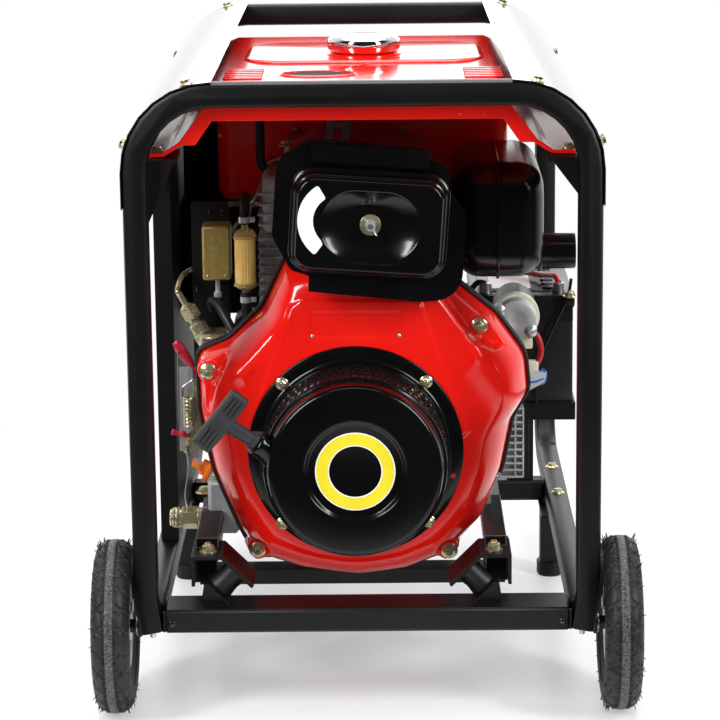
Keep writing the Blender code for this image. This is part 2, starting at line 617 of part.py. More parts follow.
def air_filter():
    """The air filter: rim plate and box, the dished cover, and the wing nut on its stud."""
    plate = rounded([(-0.106, 0.563, 0.02), (-0.097, 0.612, 0.02), (-0.056, 0.661, 0.02), (0.075, 0.650, 0.01), (0.096, 0.640, 0.01),
                     (0.103, 0.604, 0.006), (0.118, 0.575, 0.006), (0.104, 0.512, 0.02), (0.088, 0.471, 0.012),
                     (-0.066, 0.482, 0.006), (-0.078, 0.500, 0.01), (-0.104, 0.522, 0.01)], 2)
    rim = prism(plate, "y", (0.0855, SHROUD_FRONT - 0.0020))
    chamber = box((-0.070, 0.082), (SHROUD_FRONT - 0.004, 0.190), (0.538, 0.642), 0.010, 2)
    intake = rod((0.000, 0.180, 0.566), (0.000, BLOCK_FRONT - 0.004 - GAP, 0.566), 0.020, 16)
    stud = rod((WING[0], 0.090, WING[1]), (WING[0], 0.0415, WING[1]), 0.0030, 10)
    piece("air_filter_box", rim, "gloss_black", add=[chamber, intake, stud])
    tilt = math.radians(-4.5)
    shell = rectangle(0.170, 0.134, 0.026, 4, (0.005, 0.570), tilt)
    body = prism(shell, "y", (0.028, 0.0855 - GAP), 0.014, 3)
    dish = prism(rectangle(0.116, 0.076, 0.037, 5, WING, tilt), "y", (0.010, 0.040))
    hole = rod((WING[0], 0.030, WING[1]), (WING[0], 0.100, WING[1]), 0.0036, 10)
    piece("air_filter_cover", body, "gloss_black", cut=[dish, hole])
    nut = turned([(0, 0.0290), (0.0045, 0.0290), (0.0055, 0.0370), (0.0105, 0.0380), (0.0105, 0.0397), (0, 0.0397)],
                 (WING[0], 0, WING[1]), Y_AXIS, 16)
    wings = box((WING[0] - 0.0130, WING[0] + 0.0130), (0.0240, 0.0350), (WING[1] - 0.0012, WING[1] + 0.0012))
    piece("wing_nut", nut, "zinc", origin=(WING[0], 0.0397, WING[1]), add=[wings])


def muffler():
    """The pressed muffler with its outlet pipe to the right and its inlet from the head."""
    shell = rectangle(0.106, 0.138, 0.030, 4, (0.160, 0.549))
    body = prism(shell, "y", (0.170, 0.400), 0.018, 3)
    pipe = rod((0.190, 0.250, 0.501), (0.256, 0.250, 0.501), 0.0215, 20)
    inlet = rod((BLOCK_R - 0.004 + GAP, 0.300, 0.566), (0.120, 0.300, 0.566), 0.018, 16)
    bore = rod((0.205, 0.250, 0.501), (0.270, 0.250, 0.501), 0.0185, 20)
    piece("muffler", body, "black_paint", add=[pipe, inlet], cut=[bore])


def left_side_fittings():
    """Injection pump, governor levers, oil cap, stop solenoid and fuel filter, all on the left."""
    pump = box((-0.200, CASE_L - GAP), (0.215, 0.265), (0.340, 0.408), 0.004)
    lean = Vector((-0.47, 0, 0.88)).normalized()
    root = Vector((-0.192, 0.235, 0.395))
    valve = turned([(0, 0), (0.0110, 0), (0.0110, 0.026), (0.0070, 0.028), (0.0070, 0.034), (0.0095, 0.034),
                    (0.0095, 0.050), (0.0040, 0.054), (0.0040, 0.070), (0, 0.070)], root, lean, 12)
    piece("injection_pump", pump, "zinc", add=[valve])

    pivot = Vector((-0.200, 0.1935, 0.350))
    arm = prism([(-0.203, 0.345), (-0.195, 0.345), (-0.195, 0.358), (-0.2030, 0.3790), (-0.2230, 0.4120),
                 (-0.2340, 0.4060), (-0.2110, 0.3700)], "y", (pivot.y - 0.008, pivot.y - 0.002))
    pin = rod(pivot - Y_AXIS * 0.009, pivot + Y_AXIS * 0.0062, 0.0035)
    piece("throttle_lever", arm, "red_plastic", origin=pivot, add=[pin])

    pivot = Vector((-0.214, 0.1935, 0.284))
    flag = prism([(-0.218, 0.279), (-0.210, 0.279), (-0.210, 0.292), (-0.2330, 0.3030), (-0.2360, 0.2960), (-0.219, 0.288)],
                 "y", (pivot.y - 0.007, pivot.y - 0.002))
    pin = rod(pivot - Y_AXIS * 0.008, pivot + Y_AXIS * 0.0062, 0.0030)
    piece("stop_lever", flag, "red_plastic", origin=pivot, add=[pin])

    lean = Vector((-0.0405, 0, 0.0222)).normalized()
    seat = Vector((-0.1905, 0.215, 0.2392)) + lean * GAP
    cap = turned([(0, 0), (0.0165, 0), (0.0165, 0.004), (0.0100, 0.005), (0.0100, 0.012), (0, 0.012)], seat, lean, 20)
    tab = box((-0.003, 0.003), (-0.011, 0.011), (0.010, 0.024), 0.001)
    tab.transform(Matrix.Translation(seat) @ Z_AXIS.rotation_difference(lean).to_matrix().to_4x4())
    piece("oil_cap", cap, "orange_plastic", origin=seat, add=[tab])

    plate = box((-0.211, CASE_L - GAP), (0.2785, 0.2815), (0.330, 0.560))
    piece("solenoid_bracket", plate, "black_paint")
    coil = box((-0.196, -0.162), (0.2400, 0.2785 - GAP), (0.470, 0.536), 0.002)
    bore = rod((-0.179, 0.259, 0.460), (-0.179, 0.259, 0.500), 0.0036)
    piece("stop_solenoid", coil, "zinc", cut=[bore])
    stem = turned([(0, 0.446), (0.0050, 0.446), (0.0050, 0.452), (0.0030, 0.453), (0.0030, 0.490), (0, 0.490)],
                  (-0.179, 0.259, 0), Z_AXIS, 12)
    piece("solenoid_plunger", stem, "steel", origin=(-0.179, 0.259, 0.470))

    bowl = [(0, 0.462), (0.0045, 0.462), (0.0045, 0.466), (0.0120, 0.470), (0.0135, 0.474), (0.0125, 0.478),
            (0.0125, 0.524), (0.0135, 0.528), (0.0120, 0.533), (0.0050, 0.537), (0.0045, 0.545), (0, 0.545)]
    piece("fuel_filter", turned(bowl, (-0.1425, 0.205, 0), Z_AXIS, 20), "amber")


FUEL_ROUTE = [(-0.150, 0.440, 0.5336), (-0.150, 0.440, 0.528), (-0.150, 0.440, 0.521), (-0.149, 0.415, 0.512),
              (-0.149, 0.385, 0.517),
              (-0.147, 0.340, 0.530), (-0.144, 0.295, 0.551), (-0.1425, 0.250, 0.571), (-0.1425, 0.216, 0.574),
              (-0.1425, 0.205, 0.562), (-0.1425, 0.205, 0.5455)]


def hose(name, points, radius, look_name):
    """A hose held at both ends, along a smooth curve through the points."""
    path = []
    padded = [points[0], *points, points[-1]]
    for a, b, c, d in zip(padded, padded[1:], padded[2:], padded[3:]):
        a, b, c, d = map(Vector, (a, b, c, d))
        for i in range(4):
            t = i / 4
            path.append(0.5 * (2 * b + (c - a) * t + (2 * a - 5 * b + 4 * c - d) * t**2 + (3 * b - a - 3 * c + d) * t**3))
    path.append(Vector(points[-1]))
    curve = bpy.data.curves.new(name, "CURVE")
    curve.dimensions = "3D"
    spline = curve.splines.new("POLY")
    spline.points.add(len(path) - 1)
    for point, place in zip(spline.points, path):
        point.co = (*place, 1)
    curve.bevel_depth = radius
    curve.bevel_resolution = 2
    curve.use_fill_caps = True
    curve.materials.append(look(look_name))
    made = bpy.data.objects.new(name, curve)
    made.parent = welder
    bpy.context.scene.collection.objects.link(made)


def starter_motor():
    centre = Vector((0.182, 0, 0.4255))
    profile = [(0, 0.205), (0.022, 0.205), (0.0245, 0.208), (0.0245, 0.225), (0.0262, 0.226), (0.0262, 0.300),
               (0.0225, 0.302), (0.0225, 0.322), (0, 0.322)]
    piece("starter_motor", turned(profile, centre, Y_AXIS, 24), "cast_aluminium")


def alternator():
    """Housing with its rear wall and foot, and the stator core pressed in it around the rotor."""
    outer, inner = HOUSING_R, HOUSING_R - HOUSING_WALL
    wall = HOUSING_BACK - 0.010
    shell = [(inner, HOUSING_FRONT), (outer, HOUSING_FRONT), (outer, HOUSING_BACK), (0.060, HOUSING_BACK + 0.020),
             (0.0123, HOUSING_BACK + 0.020), (0.0123, HOUSING_BACK), (0.060, wall), (inner, wall)]
    foot = box((BASE_L + 0.010, BASE_R - 0.010), (0.530, 0.590), (CHANNEL_TOP + GAP, 0.190))
    hollow = rod(crank_at(HOUSING_FRONT + 0.02), crank_at(wall - 0.004), inner - 0.0002, 36)
    piece("alternator_housing", turned(shell, (CRANK_X, 0, CRANK_Z), Y_AXIS, 36), "cast_aluminium", add=[foot], cut=[hollow])
    seat = inner - 0.0002 - 0.0008
    core = [(STATOR_IN_R, ROTOR_FRONT - 0.010), (seat, ROTOR_FRONT - 0.010), (seat, ROTOR_BACK + 0.010),
            (STATOR_IN_R, ROTOR_BACK + 0.010)]
    piece("stator_core", turned(core, (CRANK_X, 0, CRANK_Z), Y_AXIS, 36), "copper")


# ---- tank, battery and panel ------------------------------------------------------------------------
def fuel_tank():
    """The tank: a pressed roof with ears, deep behind the engine and shallow over it, with a lifting hole."""
    ear, top, under = 0.2400, TANK_TOP, TANK_UNDER
    low = SHELF_TOP + GAP
    roof = [(-ear, low), (-0.223, low + 0.001), (-0.203, 0.667), (-0.188, 0.667), (-0.169, under), (0.158, under),
            (0.177, 0.667), (0.192, 0.667), (0.213, low + 0.001), (ear, low), (ear, low + 0.004), (0.215, low + 0.005),
            (0.196, 0.671), (0.168, 0.708), (0.158, top), (-0.168, top), (-0.179, 0.708), (-0.206, 0.671),
            (-0.225, low + 0.005), (-ear, low + 0.004)]
    shell = prism(roof, "y", (TANK_FRONT, TANK_BACK))
    well = box((WELL_L, WELL_R), (WELL_FRONT, TANK_BACK - 0.012), (WELL_LOW, under + 0.010), 0.018, 3)
    pan = box((-0.150, 0.145), (0.125, WELL_FRONT + 0.030), (0.682, under + 0.010), 0.004)
    neck = rod((CAP_X, CAP_DEPTH, top - 0.005), (CAP_X, CAP_DEPTH, CAP_TOP - 0.012), NECK_R, 28)
    hole = prism(ellipse(0.088, 0.048, (EYE_X, EYE_DEPTH)), "z", (0.630, 0.730))
    piece("fuel_tank", shell, "red_paint", add=[well, pan, neck], cut=[hole])
    skirt, roof_z = NECK_R + 0.0012, CAP_TOP - 0.012 + GAP
    cap = [(0, roof_z), (skirt, roof_z), (skirt, top + 0.0015), (CAP_R - 0.002, top + 0.0015), (CAP_R, top + 0.004),
           (CAP_R, CAP_TOP - 0.006), (CAP_R - 0.004, CAP_TOP - 0.002), (0, CAP_TOP)]
    piece("fuel_cap", turned(cap, (CAP_X, CAP_DEPTH, 0), Z_AXIS, 32), "chrome", origin=(CAP_X, CAP_DEPTH, top))


def battery():
    """Starter battery in a pressed tray, which a post carries on the rear crossbar."""
    wall = TRAY_WALL
    tray = box((TRAY_L, TRAY_R), (TRAY_FRONT, TRAY_BACK), (TRAY_BOTTOM, TRAY_BOTTOM + TRAY_H))
    post = box((0.185, 0.220), (BACK_BAR_DEPTH + 0.004, TRAY_BACK - 0.001), (RAIL_TOP + GAP, TRAY_BOTTOM + 0.001))
    apron = box((0.164, 0.204), (TRAY_FRONT, TRAY_FRONT + 0.003), (0.190, TRAY_BOTTOM + 0.001))
    brace = box((0.198, 0.204), (TRAY_FRONT, TRAY_BACK - 0.002), (0.225, TRAY_BOTTOM + 0.001))
    inside = box((TRAY_L + wall, TRAY_R - wall), (TRAY_FRONT + wall, TRAY_BACK - wall),
                 (TRAY_BOTTOM + wall, TRAY_BOTTOM + TRAY_H + 0.010))
    piece("battery_tray", tray, "black_paint", add=[post, apron, brace], cut=[inside])
    slack = wall + GAP
    case = box((TRAY_L + slack, TRAY_R - slack), (TRAY_FRONT + slack, TRAY_BACK - slack),
               (TRAY_BOTTOM + slack, BATTERY_TOP - 0.012))
    lid = box((TRAY_L + slack - 0.001, TRAY_R - slack + 0.001), (TRAY_FRONT + slack - 0.001, TRAY_BACK - slack + 0.001),
              (BATTERY_TOP - 0.018, BATTERY_TOP), 0.002)
    piece("battery", case, "black_plastic", add=[lid])
    body = box((0.165, 0.197), (TRAY_FRONT - 0.024, TRAY_FRONT - GAP), (0.193, 0.284))
    piece("regulator", body, "cast_aluminium")


def panel_button(profile, depth, z):
    """A turned piece on the panel's face, its profile given outwards from the face."""
    return turned(profile, (PANEL_FACE - GAP, depth, z), -X_AXIS, 20)


def control_panel():
    """The recessed side panel, the box behind it, and what the welder turns, flips and plugs in."""
    rim = PANEL_RIM
    tray = box((PANEL_OUT, PANEL_BACK), (PANEL_FRONT, PANEL_END), (RAIL_TOP + GAP, PANEL_TOP))
    pocket = box((PANEL_OUT - 0.010, PANEL_FACE), (PANEL_FRONT + rim, PANEL_END - rim), (RAIL_TOP + GAP + rim, PANEL_TOP - rim))
    piece("control_panel", tray, "black_paint", cut=[pocket])
    span = (HOUSING_FRONT + 0.060, PANEL_END - 0.008)
    housing = box((PANEL_BACK + GAP, -0.196), span, (0.385, WELL_LOW - 0.006), 0.003)
    rectifier = box((-0.200, -0.108), span, (CRANK_Z + HOUSING_R + 0.008, WELL_LOW - 0.014), 0.003)
    piece("control_box", housing, "black_paint", add=[rectifier])

    knob = [(0, 0), (0.0170, 0), (0.0170, 0.006), (0.0140, 0.008), (0.0130, 0.0155), (0, 0.0155)]
    pointer = box((PANEL_FACE - 0.0170, PANEL_FACE - 0.010), (KNOB_DEPTH - 0.0015, KNOB_DEPTH + 0.0015), (KNOB_Z, KNOB_Z + 0.012))
    piece("current_knob", panel_button(knob, KNOB_DEPTH, KNOB_Z), "black_plastic",
          origin=(PANEL_FACE - GAP, KNOB_DEPTH, KNOB_Z), add=[pointer])

    barrel = [(0, 0), (0.0110, 0), (0.0110, 0.004), (0.0080, 0.005), (0.0080, 0.008), (0, 0.008)]
    blade = box((PANEL_FACE - 0.0170, PANEL_FACE - 0.006), (KEY_DEPTH - 0.0012, KEY_DEPTH + 0.0012), (KEY_Z - 0.009, KEY_Z + 0.009))
    piece("key_switch", panel_button(barrel, KEY_DEPTH, KEY_Z), "chrome",
          origin=(PANEL_FACE - GAP, KEY_DEPTH, KEY_Z), add=[blade])

    toggle = turned([(0, -0.007), (0.0050, -0.007), (0.0050, 0.007), (0, 0.007)],
                    (PANEL_FACE - GAP - 0.0052, BREAKER_DEPTH, BREAKER_Z), Y_AXIS, 16)
    stick = box((PANEL_FACE - 0.0165, PANEL_FACE - 0.0060), (BREAKER_DEPTH - 0.0060, BREAKER_DEPTH + 0.0060),
                (BREAKER_Z + 0.0003, BREAKER_Z + 0.0045))
    piece("breaker_lever", toggle, "black_plastic", origin=(PANEL_FACE - GAP - 0.0052, BREAKER_DEPTH, BREAKER_Z), add=[stick])

    hinge_z = COVER_Z + 0.027
    flap = box((PANEL_FACE - 0.0120, PANEL_FACE - 0.0035), (COVER_DEPTH - 0.025, COVER_DEPTH + 0.025), (COVER_Z - 0.025, hinge_z), 0.002)
    knuckle = rod((PANEL_FACE - 0.0045, COVER_DEPTH - 0.020, hinge_z), (PANEL_FACE - 0.0045, COVER_DEPTH + 0.020, hinge_z), 0.0038)
    piece("socket_cover", flap, "black_plastic", origin=(PANEL_FACE - 0.0045, COVER_DEPTH, hinge_z), add=[knuckle])

    cup = [(0, 0), (0.0200, 0), (0.0200, 0.005), (0.0160, 0.006), (0.0160, 0.0155), (0.0060, 0.0155), (0.0060, 0.004),
           (0, 0.004)]
    for name, depth in (("positive", 0.540), ("negative", 0.650)):
        piece(f"{name}_weld_socket", panel_button(cup, depth, TERMINAL_Z), "black_plastic")


def main():
    front_hoop()
    rear_hoop()
    rails()
    crossbars()
    guards()
    rear_legs()
    wheels()
    engine_base()
    front_mounts()
    rear_mounts()
    crankcase()
    cylinder()
    fan_shroud()
    crank_line()
    recoil()
    air_filter()
    muffler()
    left_side_fittings()
    hose("fuel_hose", FUEL_ROUTE, 0.0055, "rubber")
    starter_motor()
    alternator()
    fuel_tank()
    battery()
    control_panel()


main()
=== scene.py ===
"""Engine driven welder: the finishes and fine pieces of an open-frame diesel welding generator.

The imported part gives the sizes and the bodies. Each operator below dresses one group of pieces: it
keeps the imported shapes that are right, and builds finer ones for the rest. Shapes are written as
(x, depth behind the frame's front face, z above the ground), in metres.
"""

import json
import math
import random

import bmesh
import bpy
import numpy as np
from bpy.props import FloatProperty, FloatVectorProperty, IntProperty, PointerProperty
from bpy.types import Operator, Panel, PropertyGroup
from mathutils import Matrix, Quaternion, Vector

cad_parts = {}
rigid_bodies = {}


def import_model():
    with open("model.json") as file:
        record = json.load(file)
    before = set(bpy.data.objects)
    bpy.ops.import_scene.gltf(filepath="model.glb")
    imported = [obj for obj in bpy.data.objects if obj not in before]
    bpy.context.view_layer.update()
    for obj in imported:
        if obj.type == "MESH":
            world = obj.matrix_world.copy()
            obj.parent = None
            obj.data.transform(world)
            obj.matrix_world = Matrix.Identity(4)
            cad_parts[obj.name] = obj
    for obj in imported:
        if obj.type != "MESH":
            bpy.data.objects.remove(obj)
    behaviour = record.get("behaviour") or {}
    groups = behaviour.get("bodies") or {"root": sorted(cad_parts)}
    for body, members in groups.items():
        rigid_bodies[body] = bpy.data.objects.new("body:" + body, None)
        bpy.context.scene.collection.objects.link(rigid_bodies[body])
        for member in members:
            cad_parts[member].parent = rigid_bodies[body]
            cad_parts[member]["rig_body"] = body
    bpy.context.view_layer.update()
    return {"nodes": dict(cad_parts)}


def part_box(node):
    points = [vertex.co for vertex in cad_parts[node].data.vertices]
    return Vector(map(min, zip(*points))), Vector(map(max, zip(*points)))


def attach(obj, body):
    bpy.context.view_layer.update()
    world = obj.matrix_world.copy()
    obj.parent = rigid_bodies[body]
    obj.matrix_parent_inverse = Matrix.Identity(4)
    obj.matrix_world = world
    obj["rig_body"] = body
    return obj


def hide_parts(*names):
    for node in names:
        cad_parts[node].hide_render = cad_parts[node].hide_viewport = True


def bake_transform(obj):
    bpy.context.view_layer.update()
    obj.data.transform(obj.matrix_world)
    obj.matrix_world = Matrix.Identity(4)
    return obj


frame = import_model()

bl_info = {
    "name": "Engine driven welder",
    "version": (1, 0, 0),
    "blender": (4, 5, 0),
    "location": "3D View > Sidebar > Welder",
    "description": "Builds the visible pieces and finishes of an engine driven welder on its packed frame",
    "category": "Object",
}

X_AXIS, Y_AXIS, Z_AXIS = Vector((1, 0, 0)), Vector((0, 1, 0)), Vector((0, 0, 1))
FRONT_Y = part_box("front_hoop")[0].y
FACE_SHARP = math.radians(38)


def span(node):
    """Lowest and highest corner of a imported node, as (x, depth, z)."""
    low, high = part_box(node)
    shift = Vector((0, FRONT_Y, 0))
    return low - shift, high - shift


def middle(node):
    """The centre of a CAD node's box, in (x, depth, z)."""
    low, high = span(node)
    return (low + high) / 2


CRANK_X = middle("flywheel_fan").x
CRANK_Z = middle("flywheel_fan").z
FLANGE_R = (span("recoil_cover")[1].x - span("recoil_cover")[0].x) / 2
DOME_FRONT = span("recoil_cover")[0].y
COWL_FRONT, COWL_BACK = span("fan_shroud")[0].y, span("fan_shroud")[1].y
WHEEL_R = span("left_tyre")[1].z / 2
WHEEL_X = middle("right_tyre").x
HOOP_TOP, FRONT_WIDTH, REAR_WIDTH = 0.741, 0.538, 0.526
HOOP_BEND = 0.1                # outer radius of the hoops' corners, which the top guards follow
HOUSING_R = 0.115                # alternator housing
TANK_TOP = 0.7125
PANEL_FACE = -0.2395             # outer face of the control panel's sheet
WELD_SOCKETS = (0.54, 0.65)    # depths of the positive and negative weld sockets
WELD_SOCKET_Z = 0.235
GUARD_LIFT = 0.0014              # a guard bolt's seat above the hoop's bend: the sheet, less a sunk washer


# ---- colours and finishes -------------------------------------------------------------------------
def linear(code):
    """An sRGB hex colour as linear RGBA; a setting's colour is linear already."""
    if not isinstance(code, str):
        return (*code[:3], 1.0)
    parts = [int(code[i:i + 2], 16) / 255 for i in (0, 2, 4)]
    return (*[c / 12.92 if c <= 0.04045 else ((c + 0.055) / 1.055) ** 2.4 for c in parts], 1.0)


def add(tree, kind, settings=(), **links):
    """A node of that kind, with its settings, and its inputs linked to the sockets given."""
    made = tree.nodes.new(kind)
    for key, value in dict(settings).items():
        if isinstance(key, int) or key in made.inputs:
            made.inputs[key].default_value = value
        else:
            setattr(made, key, value)
    for key, socket in links.items():
        tree.links.new(socket, made.inputs[key.replace("_", " ")])
    return made


def grain(tree, place, size, detail=3.0, stretch=(1, 1, 1)):
    """Noise whose lumps are about this many metres across."""
    scaled = add(tree, "ShaderNodeMapping", {"Scale": stretch}, Vector=place)
    noise = add(tree, "ShaderNodeTexNoise", {"Scale": 0.5 / size, "Detail": detail}, Vector=scaled.outputs[0])
    return noise.outputs["Fac"]


FINISHES = {}


def finish(name, colours, roughness, metallic=0.0, patch=0.03, spread=0.08, lump=0.001, height=0.00003,
           stretch=(1, 1, 1), sockets=(), pattern=None):
    """A surface whose colour drifts between shades over patches, with fine lumps and uneven gloss.

    patch and lump are sizes in metres, height is how far the lumps stand up, and sockets holds further
    values of the shader. pattern, if given, adds its own height and darkening to the lumps.
    """
    if name in FINISHES:
        return FINISHES[name]
    made = bpy.data.materials.new(name)
    made.use_nodes = True
    tree = made.node_tree
    tree.nodes.clear()
    place = add(tree, "ShaderNodeTexCoord").outputs["Object"]
    drift = grain(tree, place, patch, 4.0)
    ramp = add(tree, "ShaderNodeValToRGB", Fac=drift)
    stops = ramp.color_ramp.elements
    count = len(colours)
    for i, code in enumerate(colours):
        at = 0.5 if count == 1 else 0.32 + 0.36 * i / (count - 1)
        stop = stops[i] if i < 2 else stops.new(at)
        stop.position = at
        stop.color = linear(code)
    if count == 1:
        stops.remove(stops[1])
    lumps = grain(tree, place, lump, 3.0, stretch)
    gloss = add(tree, "ShaderNodeMapRange", {"To Min": max(0.02, roughness - spread), "To Max": roughness
                                             + spread},
                Value=add(tree, "ShaderNodeMath", {"operation": "MULTIPLY_ADD", 1: 0.35, 2: 0.33},
                          Value=grain(tree, place, patch * 0.4, 5.0)).outputs[0])
    shader = add(tree, "ShaderNodeBsdfPrincipled", {"Metallic": metallic, **dict(sockets)},
                 Base_Color=ramp.outputs["Color"], Roughness=gloss.outputs["Result"])
    rise = lumps
    if pattern:
        rise = pattern(tree, place, lumps)
    bump = add(tree, "ShaderNodeBump", {"Strength": 1.0, "Distance": height}, Height=rise)
    tree.links.new(bump.outputs["Normal"], shader.inputs["Normal"])
    add(tree, "ShaderNodeOutputMaterial", Surface=shader.outputs[0])
    made.diffuse_color = linear(colours[0])
    FINISHES[name] = made
    return made


def cast_skin(tree, place, lumps):
    """Sand casting: shallow round pits over the fine lumps."""
    pits = add(tree, "ShaderNodeTexVoronoi", {"Scale": 420.0}, Vector=place).outputs["Distance"]
    return mixed(tree, lumps, pits, 0.6)


def combined(tree, operation, first, second):
    """The result of a math node on two sockets."""
    made = add(tree, "ShaderNodeMath", {"operation": operation})
    tree.links.new(first, made.inputs[0])
    tree.links.new(second, made.inputs[1])
    return made.outputs[0]


def mixed(tree, first, second, share):
    """One height that is the first and a share of the second."""
    scaled = add(tree, "ShaderNodeMath", {"operation": "MULTIPLY", 1: share}, Value=second)
    return combined(tree, "ADD", first, scaled.outputs[0])


def laminations(tree, place, lumps):
    """Stacked sheet steel: fine grooves 1.5 mm apart along the depth, drawn coarser than the real 0.5 mm."""
    wave = add(tree, "ShaderNodeTexWave", {"bands_direction": "Y", "Scale": 52.0, "Distortion": 0.1},
               Vector=place)
    return mixed(tree, lumps, wave.outputs["Fac"], 2.0)


def powder_black():
    """Powder coat on steel tube, baked: satin, with the fine orange peel that thick powder leaves."""
    return finish("satin_black_powder_coat", (tints().frame_dark, tints().frame_light), 0.42, patch=0.05,
                  lump=0.0011, height=0.00002, spread=0.05, sockets={"Specular IOR Level": 0.32})


def gloss_black():
    """Stoved enamel on pressed sheet: a mirror-like black with very faint orange peel."""
    return finish("gloss_black_enamel", ("070708", "0b0b0c"), 0.1, patch=0.06, lump=0.004, height=0.00002,
                  spread=0.03, sockets={"Coat Weight": 0.5, "Coat Roughness": 0.05})


def recoil_black():
    """Semi-gloss enamel on the recoil dome and the filter lid: soft broad highlights on a deep black."""
    return finish("semi_gloss_black_enamel", ("060606", "0a0a0a"), 0.18, patch=0.06, lump=0.004,
                  height=0.00002,
                  spread=0.03, sockets={"Coat Weight": 0.15, "Coat Roughness": 0.1,
                                        "Specular IOR Level": 0.3})


def matt_black():
    """Thin matt black paint inside the machine: the control box and the louvre band wear it, and as painted
    shade it fills the dark gaps behind the engine and the lifting hole.
    """
    return finish("matt_black_paint", ("060606", "0a0a0a"), 0.62, patch=0.05, lump=0.0012, height=0.00002,
                  sockets={"Specular IOR Level": 0.15})


def rope_braid():
    """Braided nylon cord of the starter: dull grey with a fine lumpy weave."""
    return finish("braided_nylon_cord", ("3a3a3c", "6a6a6c"), 0.8, patch=0.002, lump=0.001, height=0.00015)


def panel_black():
    """Wrinkle-finish paint on the control panel: fine crinkled black with little shine."""
    return finish("wrinkle_black_paint", ("0a0a0b", "131314"), 0.55, patch=0.05, lump=0.0016, height=0.0001,
                  sockets={"Specular IOR Level": 0.2})


def guard_black():
    """Stoved enamel on the bent top guards: glossy, so it mirrors the pale room at a glancing look."""
    return finish("guard_black_enamel", ("101011", "161617"), 0.12, patch=0.08, lump=0.004, height=0.00001,
                  spread=0.02, sockets={"Specular IOR Level": 0.9, "Coat Weight": 1.0, "Coat Roughness": 0.04,
                                        "Coat IOR": 1.8})


def heat_black():
    """Heat-proof paint on the muffler: soft satin, a little chalky in patches."""
    return finish("heat_proof_black", ("070708", "0c0c0d"), 0.2, patch=0.03, lump=0.003, height=0.00002)


def red_enamel():
    """Stoved red enamel over pressed sheet: deep and wet-looking, with faint orange peel."""
    return finish("red_stoved_enamel", (tints().red_deep, tints().red_bright), 0.16, patch=0.09, lump=0.006,
                  height=0.00002, spread=0.03, sockets={"Specular IOR Level": 0.4, "Coat Weight": 0.5,
                                                        "Coat Roughness": 0.05})


def cast_aluminium():
    """Sand-cast aluminium alloy, shot-blasted: pale grey, matt, pitted all over."""
    return finish("sand_cast_aluminium", ("8e8f90", "a3a4a5", "b2b3b4"), 0.5, 0.45, patch=0.02, lump=0.0013,
                  height=0.0001, pattern=cast_skin)


def turned_aluminium():
    """Machined aluminium: brighter, with fine tool lines."""
    return finish("machined_aluminium", ("a8aaac", "c2c4c6"), 0.34, 1.0, patch=0.02, lump=0.0006,
                  height=0.00004,
                  stretch=(1, 8, 1))


def yellow_zinc():
    """Yellow-passivated zinc on bolts: pale gold, with greenish and pinkish drift."""
    return finish("yellow_zinc_plate", ("a79d78", "c9c09c", "d6cda9", "b9ad88"), 0.24, 0.8, patch=0.006,
                  lump=0.003, height=0.00001)


def rainbow_zinc():
    """The heavy yellow passivation of the solenoid case: blotches of straw, olive and rose."""
    return finish("mottled_yellow_zinc", ("b98f62", "b59a58", "a89a50", "bba45e", "c39a78"), 0.34,
                  0.6, patch=0.004,
                  lump=0.0015, height=0.00001)


def bright_zinc():
    """Blue-passivated zinc: silver with a cold tint."""
    return finish("bright_zinc_plate", ("c6c9cb", "e0e2e3"), 0.24, 0.65, patch=0.008, lump=0.003,
                  height=0.00001)


def chrome():
    """Chrome plate over a spun cap: mirror bright, with the faintest ripple."""
    return finish("chrome_plate", ("d6d8da", "dfe1e3"), 0.06, 1.0, patch=0.04, lump=0.006, height=0.00001,
                  spread=0.02)


def steel():
    """Turned mild steel with an oil film: grey with fine circular tool lines."""
    return finish("turned_steel", ("8b8c8e", "a9abad"), 0.3, 0.85, patch=0.012, lump=0.002, height=0.00001,
                  stretch=(6, 1, 1))


def copper():
    """Varnished stator: stacked sheets under copper-brown varnish."""
    return finish("varnished_stator", ("6e3319", "8f4a26"), 0.38, 0.8, patch=0.01, lump=0.001, height=0.0002,
                  pattern=laminations)


def tyre_rubber():
    """Moulded tyre rubber: near-black, with a dusty grey band worn into the middle rib."""
    made = finish("moulded_tyre_rubber", ("121212", "1a1a1b", "232324"), 0.5, patch=0.012, lump=0.0012,
                  height=0.00004, spread=0.1, sockets={"Specular IOR Level": 0.4})
    if "dust" in made.node_tree.nodes:
        return made
    tree = made.node_tree
    shader = next(node for node in tree.nodes if node.type == "BSDF_PRINCIPLED")
    place = add(tree, "ShaderNodeTexCoord").outputs["Object"]
    across = add(tree, "ShaderNodeMath", {"operation": "ABSOLUTE"},
                 Value=add(tree, "ShaderNodeSeparateXYZ", Vector=place).outputs["X"])
    off = add(tree, "ShaderNodeMath", {"operation": "COMPARE", 1: WHEEL_X, 2: 0.0046},
              Value=across.outputs[0])
    specks = add(tree, "ShaderNodeMapRange", {"From Min": 0.38, "From Max": 0.72},
                 Value=grain(tree, place, 0.001, 8.0))
    amount = combined(tree, "MULTIPLY", off.outputs[0], specks.outputs["Result"])
    dust = add(tree, "ShaderNodeMix", {"data_type": "RGBA", "name": "dust"}, Factor=amount)
    rubber = shader.inputs["Base Color"].links[0].from_socket
    tree.links.new(rubber, dust.inputs[6])
    dust.inputs[7].default_value = linear("6c6d6f")
    tree.links.new(dust.outputs[2], shader.inputs["Base Color"])
    return made


def hose_rubber():
    """Extruded nitrile hose: satin black, slightly smeared."""
    return finish("nitrile_hose", ("121213", "1c1c1d"), 0.46, patch=0.01, lump=0.0008, height=0.00005)


def trim_rubber():
    """The edge trim round the cowl: soft matt rubber."""
    return finish("edge_trim_rubber", ("0b0b0c", "151516"), 0.58, patch=0.01, lump=0.0008, height=0.00005)


def grip_rubber():
    """The pull grip: dark grey moulded thermoplastic rubber with a fine spark-eroded grain."""
    return finish("moulded_grip_rubber", ("26272a", "313236"), 0.52, patch=0.012, lump=0.0007, height=0.00009)


